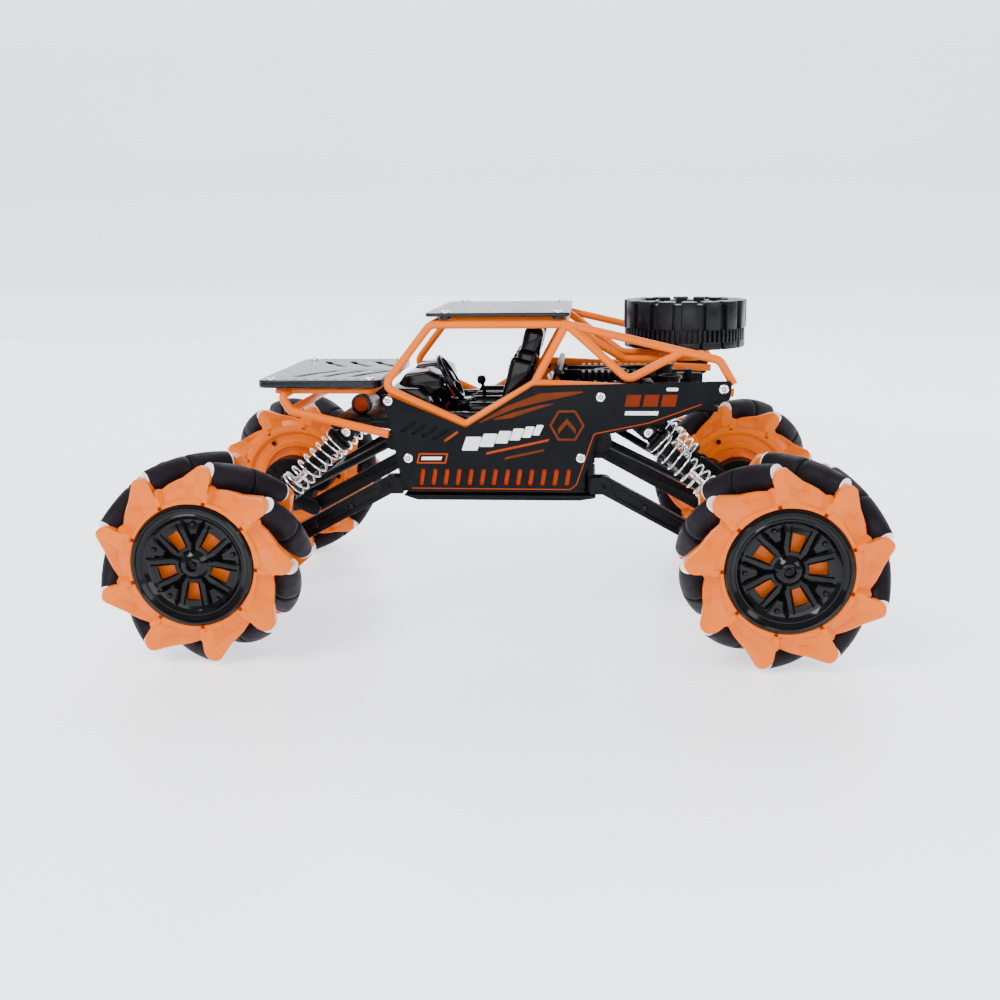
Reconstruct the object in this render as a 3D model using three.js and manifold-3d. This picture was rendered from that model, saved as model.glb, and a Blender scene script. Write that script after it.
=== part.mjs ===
// A 1:16 radio-controlled stunt car with a roller in each wheel lug, a tube cage over a moulded cockpit,
// and a solid axle at each end on trailing arms and coil-over shocks.
// Millimetres, +Z up. The front faces -X and the driver's left side is -Y.
// The origin is on the ground, midway between the axles on the centre plane.
import * as THREE from "three";
import { mergeVertices } from "three/addons/utils/BufferGeometryUtils.js";
import Module from "manifold-3d";

const wasm = await Module();
wasm.setup();

// ---------- driving dimensions ----------
const GAP = 0.3; // air left between two pieces that touch
const AXLE_X = 118.5; // half the wheelbase
const AXLE_Z = 42.5; // axle height, which is the rolling radius
const ROLLING_R = AXLE_Z;
const LUGS = 9; // lugs on each rim half, and rollers in each wheel
const LUG_STEP = 360 / LUGS;
const LUG_R = 41; // lug tip radius
const VALLEY_R = 33; // rim radius between two lugs
const WHEEL_OUT_Y = 108; // outer face of a wheel from the centre plane
const WHEEL_IN_Y = 70; // inner face of a wheel
const WHEEL_MID_Y = (WHEEL_OUT_Y + WHEEL_IN_Y) / 2;
const RIM_PLATE = 3.4; // thickness of a rim half's star plate
const BARREL_R = 26.6;
const BARREL_WALL = 1.6;
const HUBCAP_R = 25;
const HUBCAP_DEPTH = 8.5;
const HUBCAP_WINDOWS = 5;
const WELL_DEPTH = 10; // outer face to the floor behind the hubcap
const WELL_FLOOR = 2; // thickness of that floor
const CARRIER_IN_R = 27; // the ring that carries a wheel's rollers
const CARRIER_OUT_R = 30.6;
const CARRIER_HALF = 4;
const ROLLER_SIDES = 6;
const ROLLER_PITCH_R = 36; // distance from the wheel's axis to a roller's axis
const ROLLER_HALF = 17; // half a roller's length
const ROLLER_SKEW = Math.PI / 4; // angle between a roller's axis and the wheel's axis
const ROLLER_REACH = 25.5; // degrees from a lug to the middle of its roller
const STUB_R = 2.5; // drive stub on each wheel
const STUB_BORE_R = 3.1;
const STUB_LENGTH = 8;

const BELLY_Z = 56.6; // underside of the skid plate
const TUB_FLOOR_Z = 60;
const TUB_HALF_X = 40;
const TUB_HALF_Y = 46;
const TUB_TOP_Z = 83;
const TUB_WALL = 2.5;
const PANEL_Y = 51.9; // inner face of a side panel
const PANEL_THICK = 1.2;
const TUBE_R = 1.8; // cage tube radius
const CAGE_LOW_Y = 49.8; // cage tube centre at the belt line
const CAGE_HIGH_Y = 46; // cage tube centre at the roof
const ROOF_Z = 134; // roof rail height
const DECK_Z = 96; // underside of the rear engine deck
const SPARE_X = 84;
const SPARE_R = 28;
const SPARE_LOW_Z = 120;
const SPARE_HIGH_Z = 142;

// Suspension points on the rear axle. The front axle is their mirror image in X.
const LOWER_PIVOT = [47, 64]; // lower arm on the chassis
const LOWER_END = [102, 34]; // lower arm on the axle
const UPPER_PIVOT = [47, 81]; // upper wishbone on the chassis
const UPPER_END = [102, 51]; // upper wishbone on the axle
const SHOCK_TOP = [66, 87.5];
const SHOCK_FOOT = [97, 58];
const ARM_Y = 45; // centre of a lower arm
const ARM_WIDTH = 5;
const LINK_PIVOT_Y = 30; // upper wishbone leg at the chassis
const LINK_END_Y = 10; // upper wishbone leg at the axle
const SHOCK_Y = 43;
const PIN_R = 1.5;
const PIN_BORE_R = 1.95;
const OPEN_BORE_R = 2.3; // looser eye at each shock's foot
const EYE_R = 3.8;
const ROUND = 8; // sides on small round features
const WHEEL_ROUND = 16; // sides on rims and hubcaps
const TUBE_SIDES = 5;

const BEAM_R = 6.5; // axle beam
const BEAM_HALF = 52;
const CASE_R = 13; // case in the middle of the axle
const CASE_HALF = 15;
const BRACKET_IN_Y = 36.2; // brackets on the axle for the arms and shocks
const BRACKET_OUT_Y = 39.2;
const MOTOR_IN_Y = 52.3;
const MOTOR_OUT_Y = 66;
const GEAR_CASE_R = 14.5;
const MOTOR_CAN_R = 8.5;
const MOTOR_CAN_SHIFT = [15, 5]; // motor can from the wheel's axis, along X and Z
const EYE_HALF = 2.4; // half the width of a shock's eye
const PERCH_R = 6.2; // spring seats
const TOP_PERCH = 6.6; // distance from a shock's top eye to the spring's seat
const FOOT_PERCH = 35.6;
const CYLINDER_R = 3.4;
const CYLINDER_END = 25;
const SHAFT_R = 1.35;
const SPRING_R = 5.3;
const SPRING_WIRE_R = 0.5;
const SPRING_TURNS = 7;

// ---------- geometry helpers ----------
const rad = THREE.MathUtils.degToRad;
const vec = (x, y, z) => new THREE.Vector3(x, y, z);

// The solid that a closed geometry bounds.
function solidOf(geometry) {
  const bare = geometry.clone();
  bare.deleteAttribute("normal");
  bare.deleteAttribute("uv");
  const merged = mergeVertices(bare, 1e-4);
  const mesh = new wasm.Mesh({
    numProp: 3,
    vertProperties: new Float32Array(merged.getAttribute("position").array),
    triVerts: new Uint32Array(merged.getIndex().array),
  });
  mesh.merge();
  return new wasm.Manifold(mesh);
}

function geometryOf(solid) {
  const mesh = solid.getMesh();
  const geometry = new THREE.BufferGeometry();
  geometry.setAttribute("position", new THREE.BufferAttribute(mesh.vertProperties, 3));
  geometry.setIndex(new THREE.BufferAttribute(mesh.triVerts, 1));
  geometry.computeVertexNormals();
  return geometry;
}

const join = (...pieces) => geometryOf(pieces.map(solidOf).reduce((a, b) => a.add(b)));

const cut = (base, ...tools) =>
  geometryOf(tools.map(solidOf).reduce((rest, tool) => rest.subtract(tool), solidOf(base)));

const flat = (points) => points.map(([u, v]) => new THREE.Vector2(u, v));
const outline = (points) => new THREE.Shape(flat(points));

// A polygon, drawn clockwise, with every edge moved inwards by a distance, or outwards if it is negative.
function inset(points, distance) {
  const edges = points.map((a, i) => {
    const b = points[(i + 1) % points.length];
    const length = Math.hypot(b[0] - a[0], b[1] - a[1]);
    const along = [(b[0] - a[0]) / length, (b[1] - a[1]) / length];
    return { at: [a[0] + along[1] * distance, a[1] - along[0] * distance], along };
  });
  return edges.map((edge, i) => {
    const before = edges[(i + edges.length - 1) % edges.length];
    const cross = before.along[0] * edge.along[1] - before.along[1] * edge.along[0];
    const dx = edge.at[0] - before.at[0];
    const dy = edge.at[1] - before.at[1];
    const t = (dx * edge.along[1] - dy * edge.along[0]) / cross;
    return [before.at[0] + before.along[0] * t, before.at[1] + before.along[1] * t];
  });
}

// A plate whose outline is drawn in X and Z, between two heights in Y.
function plateXZ(points, y0, y1, windows = []) {
  const depth = Math.abs(y1 - y0);
  const shape = outline(points);
  shape.holes = windows.map((window) => new THREE.Path(flat(window)));
  const plate = new THREE.ExtrudeGeometry(shape, { depth, bevelEnabled: false });
  return plate.rotateX(Math.PI / 2).translate(0, Math.max(y0, y1), 0);
}

// A plate whose outline is drawn in X and Y, between two heights in Z.
function plateXY(points, z0, z1) {
  const plate = new THREE.ExtrudeGeometry(outline(points), { depth: z1 - z0, bevelEnabled: false });
  return plate.translate(0, 0, z0);
}

// A box between two opposite corners.
function block(low, high) {
  const size = high.map((value, i) => Math.abs(value - low[i]));
  const centre = high.map((value, i) => (value + low[i]) / 2);
  return new THREE.BoxGeometry(...size).translate(...centre);
}

// A round bar between two points.
function rod(from, to, radius, sides = 10, endRadius = radius) {
  const start = vec(...from);
  const along = vec(...to).sub(start);
  const bar = new THREE.CylinderGeometry(endRadius, radius, along.length(), sides);
  bar.translate(0, along.length() / 2, 0);
  bar.applyQuaternion(new THREE.Quaternion().setFromUnitVectors(vec(0, 1, 0), along.normalize()));
  return bar.translate(...start.toArray());
}

// Straight tubes from point to point, each run a little past its corners so that they close.
function tubeRun(points, radius = TUBE_R, sides = TUBE_SIDES) {
  const last = points.length - 2;
  const pieces = points.slice(1).map((point, i) => {
    const from = vec(...points[i]);
    const to = vec(...point);
    const past = to.clone().sub(from).setLength(radius * 0.5);
    if (i > 0) from.sub(past);
    if (i < last) to.add(past);
    return rod(from.toArray(), to.toArray(), radius, sides);
  });
  return join(...pieces);
}

// A turned piece on a line parallel to Y: the profile gives [radius, y].
function turned(profile, x, z, segments) {
  const points = profile.map(([radius, y]) => new THREE.Vector2(radius, y));
  return new THREE.LatheGeometry(points, segments).translate(x, 0, z);
}

// The same, on a line parallel to Z: the profile gives [radius, z].
function turnedZ(profile, x, y, segments) {
  const points = profile.map(([radius, z]) => new THREE.Vector2(radius, z));
  return new THREE.LatheGeometry(points, segments).rotateX(Math.PI / 2).translate(x, y, 0);
}

const pinY = (x, z, y0, y1, radius = PIN_R, sides = ROUND) => rod([x, y0, z], [x, y1, z], radius, sides);

// A rectangle with rounded corners, as outline points.
function roundedRect(x0, y0, x1, y1, radius, steps = 4) {
  const corners = [
    [x1 - radius, y1 - radius, 0],
    [x0 + radius, y1 - radius, 90],
    [x0 + radius, y0 + radius, 180],
    [x1 - radius, y0 + radius, 270],
  ];
  return corners.flatMap(([cx, cy, start]) =>
    Array.from({ length: steps + 1 }, (_, i) => {
      const angle = rad(start + (90 * i) / steps);
      return [cx + radius * Math.cos(angle), cy + radius * Math.sin(angle)];
    }),
  );
}

// ---------- materials ----------
const finish = (color, roughness, metalness = 0) =>
  new THREE.MeshStandardMaterial({ color, roughness, metalness });
const orangePlastic = () => finish(0xff7a18, 0.28);
const blackGloss = () => finish(0x0b0b0c, 0.16);
const blackPlastic = () => finish(0x141416, 0.45);
const rollerRubber = () => finish(0x232225, 0.7);
const tyreRubber = () => finish(0x1a1b1c, 0.62);
const panelPaint = () => finish(0x17191c, 0.35, 0.2);
const chromeSteel = () => finish(0xd8dade, 0.12, 1);
const batteryWrap = () => finish(0x2a5a8c, 0.4);
const boardGreen = () => finish(0x1d5a34, 0.5);

const car = new THREE.Group();

function add(name, geometry, material) {
  const mesh = new THREE.Mesh(geometry, material);
  mesh.name = name;
  car.add(mesh);
}

// ---------- wheels ----------
// Angles around a wheel are in degrees clockwise from the top, looking along +Y.
const around = (x, degrees, radius) => [
  x + radius * Math.sin(rad(degrees)),
  AXLE_Z + radius * Math.cos(rad(degrees)),
];

// One star plate. Each lug is steep on one side, where its roller seats, and slopes away on the other.
function starOutline(x, phase, steepSide) {
  const lug = [
    [9, VALLEY_R],
    [4, LUG_R - 0.6],
    [0, LUG_R],
    [-4, LUG_R - 1.6],
    [-20, VALLEY_R + 0.8],
  ];
  const points = [];
  for (let k = 0; k < LUGS; k += 1) {
    for (const [offset, radius] of lug) {
      points.push(around(x, phase + steepSide * (k * -LUG_STEP + offset), radius));
    }
  }
  return points;
}

function rimHalf(x, side, outer, phase, steepSide) {
  const face = side * (outer ? WHEEL_OUT_Y : WHEEL_IN_Y);
  const inward = side * (outer ? -1 : 1);
  const seam = side * WHEEL_MID_Y - inward * (GAP / 2);
  const plateBack = face + inward * RIM_PLATE;
  const plate = plateXZ(starOutline(x, phase, steepSide), face, plateBack);
  const barrel = rod([x, face, AXLE_Z], [x, seam, AXLE_Z], BARREL_R, WHEEL_ROUND);
  const well = BARREL_R - BARREL_WALL;
  if (outer) {
    // The hubcap sits in the outer well, in front of a closed floor.
    const wellFloor = face + inward * WELL_DEPTH;
    const floorBack = wellFloor + inward * WELL_FLOOR;
    const outerWell = rod([x, face - inward, AXLE_Z], [x, wellFloor, AXLE_Z], HUBCAP_R + GAP, WHEEL_ROUND);
    const innerWell = rod([x, floorBack, AXLE_Z], [x, seam + inward, AXLE_Z], well, WHEEL_ROUND);
    return cut(join(plate, barrel), outerWell, innerWell);
  }
  const innerWell = rod([x, plateBack, AXLE_Z], [x, seam + inward, AXLE_Z], well, WHEEL_ROUND);
  const stub = rod([x, face - inward * STUB_LENGTH, AXLE_Z], [x, plateBack, AXLE_Z], STUB_R, ROUND);
  return join(cut(join(plate, barrel), innerWell), stub);
}

function hubcap(x, side, windowPhase) {
  const out = side * (WHEEL_OUT_Y + 0.5);
  const back = (depth) => out - side * depth;
  const profile = [
    [0, back(HUBCAP_DEPTH)],
    [HUBCAP_R, back(HUBCAP_DEPTH)],
    [HUBCAP_R, back(1)],
    [HUBCAP_R - 1.5, out],
    [HUBCAP_R - 3, out],
    [HUBCAP_R - 5, back(3.5)],
    [5, back(1.8)],
    [0, back(1.2)],
  ];
  const disc = turned(side > 0 ? profile : profile.reverse(), x, AXLE_Z, WHEEL_ROUND);
  const windows = Array.from({ length: HUBCAP_WINDOWS }, (_, k) => {
    const centre = windowPhase + (360 / HUBCAP_WINDOWS) * k;
    const corners = [[-17, 6.5], [17, 6.5], [15, 14], [-15, 14]];
    return plateXZ(corners.map(([da, r]) => around(x, centre + da, r)), back(-1), back(HUBCAP_DEPTH + 1.5));
  });
  return cut(disc, ...windows);
}

// A wheel's nine rollers on the ring that carries them.
function rollerSet(x, side, firstLug, lean) {
  const centreOffset = lean * ROLLER_REACH;
  const bands = [-1, -0.5, 0, 0.5, 1];
  const skewed = (s) => Math.hypot(ROLLER_PITCH_R, s * Math.sin(ROLLER_SKEW));
  const profile = [
    [0, -ROLLER_HALF],
    ...bands.map((b) => [ROLLING_R - skewed(b * ROLLER_HALF), b * ROLLER_HALF]),
    [0, ROLLER_HALF],
  ].map(([r, s]) => new THREE.Vector2(r, s));
  const section = [
    [CARRIER_IN_R, -CARRIER_HALF],
    [CARRIER_OUT_R, -CARRIER_HALF],
    [CARRIER_OUT_R, CARRIER_HALF],
    [CARRIER_IN_R, CARRIER_HALF],
    [CARRIER_IN_R, -CARRIER_HALF],
  ];
  const ring = turned(section, x, AXLE_Z, 2 * LUGS).translate(0, side * WHEEL_MID_Y, 0);
  const rollers = Array.from({ length: LUGS }, (_, k) => {
    const angle = firstLug + centreOffset + k * LUG_STEP;
    const [cx, cz] = around(x, angle, ROLLER_PITCH_R);
    const tangent = vec(Math.cos(rad(angle)), 0, -Math.sin(rad(angle))).multiplyScalar(lean);
    const axis = tangent.multiplyScalar(Math.sin(ROLLER_SKEW)).add(vec(0, -side * Math.cos(ROLLER_SKEW), 0));
    const outward = vec(Math.sin(rad(angle)), 0, Math.cos(rad(angle)));
    const turn = new THREE.Matrix4().makeBasis(axis.clone().cross(outward), axis, outward);
    const roller = new THREE.LatheGeometry(profile, ROLLER_SIDES).applyMatrix4(turn);
    return roller.translate(cx, side * WHEEL_MID_Y, cz);
  });
  return join(ring, ...rollers);
}

function wheel(label, end, side, firstLug, windowPhase) {
  const x = end * AXLE_X;
  const lean = -end; // rollers lean opposite ways front and rear
  const innerShift = 2 * ROLLER_REACH * lean;
  add(`rim_outer_${label}`, rimHalf(x, side, true, firstLug, lean), orangePlastic());
  add(`rim_inner_${label}`, rimHalf(x, side, false, firstLug + innerShift, -lean), orangePlastic());
  add(`hubcap_${label}`, hubcap(x, side, windowPhase), blackGloss());
  add(`rollers_${label}`, rollerSet(x, side, firstLug, lean), rollerRubber());
}

// ---------- axles and suspension ----------
// A bar with round ends, lying in the XZ plane, and the same bar with a bore through each end.
function roundBar(a, b, y0, y1, halfHeight, endRadius = EYE_R) {
  const angle = Math.atan2(b[1] - a[1], b[0] - a[0]);
  const normal = [-Math.sin(angle) * halfHeight, Math.cos(angle) * halfHeight];
  const bar = plateXZ(
    [
      [a[0] + normal[0], a[1] + normal[1]],
      [a[0] - normal[0], a[1] - normal[1]],
      [b[0] - normal[0], b[1] - normal[1]],
      [b[0] + normal[0], b[1] + normal[1]],
    ],
    y0,
    y1,
  );
  const ends = [a, b].map(([x, z]) => pinY(x, z, y0, y1, endRadius));
  return join(bar, ...ends);
}

function boredBar(a, b, y0, y1, halfHeight) {
  const bores = [a, b].map(([x, z]) => pinY(x, z, y0 - 1, y1 + 1, PIN_BORE_R));
  return cut(roundBar(a, b, y0, y1, halfHeight), ...bores);
}

function lowerArm(end, side) {
  const centre = side * ARM_Y;
  const at = ([x, z]) => [end * x, z];
  const low = centre - ARM_WIDTH / 2;
  const high = centre + ARM_WIDTH / 2;
  const halfHeight = 3.2;
  const padRadius = 2.4;
  const padRise = 0.8;
  const arm = boredBar(at(LOWER_PIVOT), at(LOWER_END), low, high, halfHeight);
  // Bolted pads on the outer face.
  const pads = [0.25, 0.5, 0.75].map((t) => {
    const x = end * (LOWER_PIVOT[0] + (LOWER_END[0] - LOWER_PIVOT[0]) * t);
    const z = LOWER_PIVOT[1] + (LOWER_END[1] - LOWER_PIVOT[1]) * t;
    return pinY(x, z, centre, centre + side * (ARM_WIDTH / 2 + padRise), padRadius, 10);
  });
  return join(arm, ...pads);
}

// Two legs that close up towards the axle, tied by a cross bar.
function upperWishbone(end) {
  const half = 2; // half the width of an eye
  const legRadius = 2;
  const tieRadius = 1.6;
  const legs = [-1, 1].map((side) => {
    const pivot = [end * UPPER_PIVOT[0], side * LINK_PIVOT_Y, UPPER_PIVOT[1]];
    const tip = [end * UPPER_END[0], side * LINK_END_Y, UPPER_END[1]];
    const eyes = [pivot, tip].map(([x, y, z]) => pinY(x, z, y - half, y + half, 3.4));
    const bores = [pivot, tip].map(([x, y, z]) => pinY(x, z, y - 3 * half, y + 3 * half, PIN_BORE_R));
    return cut(join(rod(pivot, tip, legRadius, 6), ...eyes), ...bores);
  });
  const tie = 0.6;
  const between = (a, b) => a + (b - a) * tie;
  const x = end * between(UPPER_PIVOT[0], UPPER_END[0]);
  const y = between(LINK_PIVOT_Y, LINK_END_Y);
  const z = between(UPPER_PIVOT[1], UPPER_END[1]);
  return join(...legs, rod([x, -y, z], [x, y, z], tieRadius, TUBE_SIDES));
}

// The solid axle: a beam with a central case, and brackets for the arms, wishbone and shocks.
function axleHousing(end) {
  const x = end * AXLE_X;
  const beam = rod([x, -BEAM_HALF, AXLE_Z], [x, BEAM_HALF, AXLE_Z], BEAM_R, 10);
  const caseRound = rod([x, -CASE_HALF, AXLE_Z], [x, CASE_HALF, AXLE_Z], CASE_R, 14);
  const nose = block([end * 106, -6, 44], [end * 114, 6, 55]);
  const tongue = roundBar([end * 112, 48], [end * UPPER_END[0], UPPER_END[1]], -6, 6, 3);
  const wishbonePin = pinY(end * UPPER_END[0], UPPER_END[1], -14, 14);
  const sides = [-1, 1].flatMap((side) => {
    const y0 = side * BRACKET_IN_Y;
    const y1 = side * BRACKET_OUT_Y;
    const toArm = roundBar([x, AXLE_Z], [end * LOWER_END[0], LOWER_END[1]], y0, y1, 3.4);
    const toShock = roundBar([x, AXLE_Z], [end * SHOCK_FOOT[0], SHOCK_FOOT[1]], y0, y1, 3.2);
    return [
      toArm,
      toShock,
      pinY(end * LOWER_END[0], LOWER_END[1], side * 38, side * 48.6),
      pinY(end * SHOCK_FOOT[0], SHOCK_FOOT[1], side * 38, side * 46.8),
      pinY(end * SHOCK_FOOT[0], SHOCK_FOOT[1], side * 46.4, side * 47.6, 3.2),
    ];
  });
  return join(beam, caseRound, nose, tongue, wishbonePin, ...sides);
}

// A wheel's gearmotor on the end of the axle: a round case, a motor can and the boss round the drive stub.
function wheelMotor(end, side) {
  const x = end * AXLE_X;
  const y = (distance) => side * distance;
  const bossEnd = WHEEL_IN_Y - 2 * GAP;
  const canX = x - end * MOTOR_CAN_SHIFT[0];
  const canZ = AXLE_Z + MOTOR_CAN_SHIFT[1];
  const gearCase = rod([x, y(MOTOR_IN_Y), AXLE_Z], [x, y(MOTOR_OUT_Y), AXLE_Z], GEAR_CASE_R, 14);
  const can = rod([canX, y(MOTOR_IN_Y), canZ], [canX, y(MOTOR_OUT_Y + 1), canZ], MOTOR_CAN_R, 10);
  const boss = rod([x, y(MOTOR_OUT_Y - 1), AXLE_Z], [x, y(bossEnd), AXLE_Z], 6, ROUND);
  const bore = rod([x, y(60), AXLE_Z], [x, y(bossEnd + 1), AXLE_Z], STUB_BORE_R, ROUND);
  return cut(join(gearCase, can, boss), bore);
}

// A point on a shock: t runs from the top eye to the foot, and offset is across the shock.
const shockLength = Math.hypot(SHOCK_FOOT[0] - SHOCK_TOP[0], SHOCK_FOOT[1] - SHOCK_TOP[1]);
function shockPoint(end, side, t) {
  const f = t / shockLength;
  return [
    end * (SHOCK_TOP[0] + (SHOCK_FOOT[0] - SHOCK_TOP[0]) * f),
    side * SHOCK_Y,
    SHOCK_TOP[1] + (SHOCK_FOOT[1] - SHOCK_TOP[1]) * f,
  ];
}

function shockBody(end, side) {
  const at = (t) => shockPoint(end, side, t);
  const centre = side * SHOCK_Y;
  const eye = pinY(at(0)[0], at(0)[2], centre - EYE_HALF, centre + EYE_HALF, EYE_R);
  const eyeBore = pinY(at(0)[0], at(0)[2], centre - 4, centre + 4, PIN_BORE_R);
  const perch = rod(at(TOP_PERCH - 2), at(TOP_PERCH), PERCH_R, 10);
  const cylinder = rod(at(1), at(CYLINDER_END), CYLINDER_R);
  const bore = rod(at(7.5), at(CYLINDER_END + 2), SHAFT_R + 0.45, ROUND);
  return cut(join(eye, perch, cylinder), bore, eyeBore);
}

function shockRod(end, side) {
  const at = (t) => shockPoint(end, side, t);
  const centre = side * SHOCK_Y;
  const foot = at(shockLength);
  const eye = pinY(foot[0], foot[2], centre - EYE_HALF, centre + EYE_HALF, EYE_R + 0.6);
  const eyeBore = pinY(foot[0], foot[2], centre - 4, centre + 4, OPEN_BORE_R);
  const perch = rod(at(FOOT_PERCH), at(FOOT_PERCH + 1.6), PERCH_R, 10);
  const shaft = rod(at(11), at(shockLength - 3), SHAFT_R, ROUND);
  const collar = rod(at(FOOT_PERCH + 1), at(shockLength - 2), 3, ROUND);
  return cut(join(eye, perch, shaft, collar), eyeBore);
}

class Helix extends THREE.Curve {
  constructor(start, end, radius, turns) {
    super();
    this.start = vec(...start);
    this.along = vec(...end).sub(this.start);
    this.radius = radius;
    this.turns = turns;
    this.across = vec(0, 1, 0);
    this.third = this.along.clone().normalize().cross(this.across);
  }

  getPoint(t, target = new THREE.Vector3()) {
    const angle = 2 * Math.PI * this.turns * t;
    return target
      .copy(this.start)
      .addScaledVector(this.along, t)
      .addScaledVector(this.across, this.radius * Math.cos(angle))
      .addScaledVector(this.third, this.radius * Math.sin(angle));
  }
}

function coilSpring(end, side) {
  const from = shockPoint(end, side, TOP_PERCH + SPRING_WIRE_R + GAP);
  const to = shockPoint(end, side, FOOT_PERCH - SPRING_WIRE_R - GAP);
  const corners = [0, 120, 240].map((angle) => [
    SPRING_WIRE_R * Math.cos(rad(angle)),
    SPRING_WIRE_R * Math.sin(rad(angle)),
  ]);
  return new THREE.ExtrudeGeometry(outline(corners), {
    steps: SPRING_TURNS * 8,
    bevelEnabled: false,
    extrudePath: new Helix(from, to, SPRING_R, SPRING_TURNS),
  });
}

// ---------- chassis ----------
function chassisTub() {
  const low = [-TUB_HALF_X, -TUB_HALF_Y, TUB_FLOOR_Z];
  const high = [TUB_HALF_X, TUB_HALF_Y, TUB_TOP_Z];
  const inside = block(
    [low[0] + TUB_WALL, low[1] + TUB_WALL, TUB_FLOOR_Z + TUB_WALL],
    [high[0] - TUB_WALL, high[1] - TUB_WALL, TUB_TOP_Z + 1],
  );
  return cut(block(low, high), inside);
}

const SWITCH_X = -8;
const SWITCH_Y = 32;

function skidPlate() {
  const top = TUB_FLOOR_Z - GAP;
  const pan = plateXZ(
    [[-40.8, top], [-40.8, 59.2], [-34.8, BELLY_Z], [36.6, BELLY_Z], [43.6, 58.4], [43.6, top]],
    -48,
    48,
  );
  const switchSlot = block([SWITCH_X - 6, SWITCH_Y - 4, BELLY_Z - 1], [SWITCH_X + 6, SWITCH_Y + 4, top + 1]);
  return cut(pan, switchSlot);
}

function switchKnob() {
  const top = TUB_FLOOR_Z - GAP;
  const base = block([SWITCH_X - 3, SWITCH_Y - 3.5, top - 1.4], [SWITCH_X + 3, SWITCH_Y + 3.5, top]);
  const thumb = block([SWITCH_X - 1.5, SWITCH_Y - 2, top - 2.6], [SWITCH_X + 1.5, SWITCH_Y + 2, top - 1]);
  return join(base, thumb);
}

function batteryPack() {
  const halfLength = 33;
  const cellR = 9.1;
  const cellY = cellR + 0.2;
  const cellZ = TUB_FLOOR_Z + TUB_WALL + 2 * GAP + cellR;
  const cells = [-1, 1].map((side) =>
    rod([-halfLength, side * cellY, cellZ], [halfLength, side * cellY, cellZ], cellR, 14),
  );
  return join(...cells, block([-halfLength, -9, cellZ - 7.7], [halfLength, 9, cellZ + 7.8]));
}

function controlBoard() {
  const board = block([-30, 23, 64], [30, 42, 65.6]);
  const chips = [-18, 0, 17].map((x) => block([x - 4, 27, 65], [x + 4, 37, 68.5]));
  return join(board, ...chips);
}

// A chassis end: bulkhead, ears and pins for the arms, a shelf, and a tower for each shock.
function subframe(end) {
  const at = (x, y, z) => [end * x, y, z];
  const shelfLow = 90.5;
  const shelfHigh = 92.8;
  const towerIn = 35;
  const towerOut = 39.4;
  const wall = block(at(TUB_HALF_X + GAP, -47.6, 61), at(42.4, 47.6, 92.5));
  const shelf = block(at(41, -38, shelfLow), at(72, 38, shelfHigh));
  const pieces = [wall, shelf];
  const ear = ([x, z], y0, y1) => [
    block(at(41, y0, z - EYE_R), at(x, y1, z + EYE_R)),
    pinY(end * x, z, y0, y1, EYE_R),
  ];
  for (const side of [-1, 1]) {
    const armInner = side * (ARM_Y - 5.4);
    const armOuter = side * (ARM_Y + 3.8);
    pieces.push(...ear(LOWER_PIVOT, armInner, armInner + side * 2.4));
    pieces.push(...ear(LOWER_PIVOT, armOuter, armOuter - side * 0.8));
    pieces.push(pinY(end * LOWER_PIVOT[0], LOWER_PIVOT[1], armInner + side, armOuter));
    const linkInner = side * (LINK_PIVOT_Y - 6.5);
    const linkOuter = side * (LINK_PIVOT_Y + 2.8);
    pieces.push(...ear(UPPER_PIVOT, linkInner, linkInner + side * 2.4));
    pieces.push(...ear(UPPER_PIVOT, linkOuter, linkOuter + side * 2.4));
    pieces.push(pinY(end * UPPER_PIVOT[0], UPPER_PIVOT[1], linkInner + side, linkOuter + side));
    const tower = [
      [end * 56, shelfHigh],
      [end * 56, shelfLow],
      [end * (SHOCK_TOP[0] - 3), SHOCK_TOP[1] - 3],
      [end * (SHOCK_TOP[0] + 3), SHOCK_TOP[1] - 3],
      [end * 72, shelfHigh],
    ];
    pieces.push(plateXZ(tower, side * towerIn, side * towerOut));
    pieces.push(pinY(end * SHOCK_TOP[0], SHOCK_TOP[1], side * 38, side * 47.2));
    pieces.push(pinY(end * SHOCK_TOP[0], SHOCK_TOP[1], side * 46.9, side * 48.1, 3));
  }
  return join(...pieces);
}

// ---------- cage, panels and body ----------
// Belt-line and roof corners of one cage side, in X and Z.
const BELT_FRONT = [-48.6, 107.6];
const BELT_DIP = [-12.7, 91.4];
const BELT_REAR = [17, 109.2];
const ROOF_FRONT = [-28, ROOF_Z];
const ROOF_REAR = [30.5, ROOF_Z];
const TAIL_TOP = [95.5, 118.7];
const TAIL_LOW = [101.5, 108.5];

const BRACE_LOW = [57, 110.6];
const BRACE_HIGH = [80, 122.4];

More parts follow.
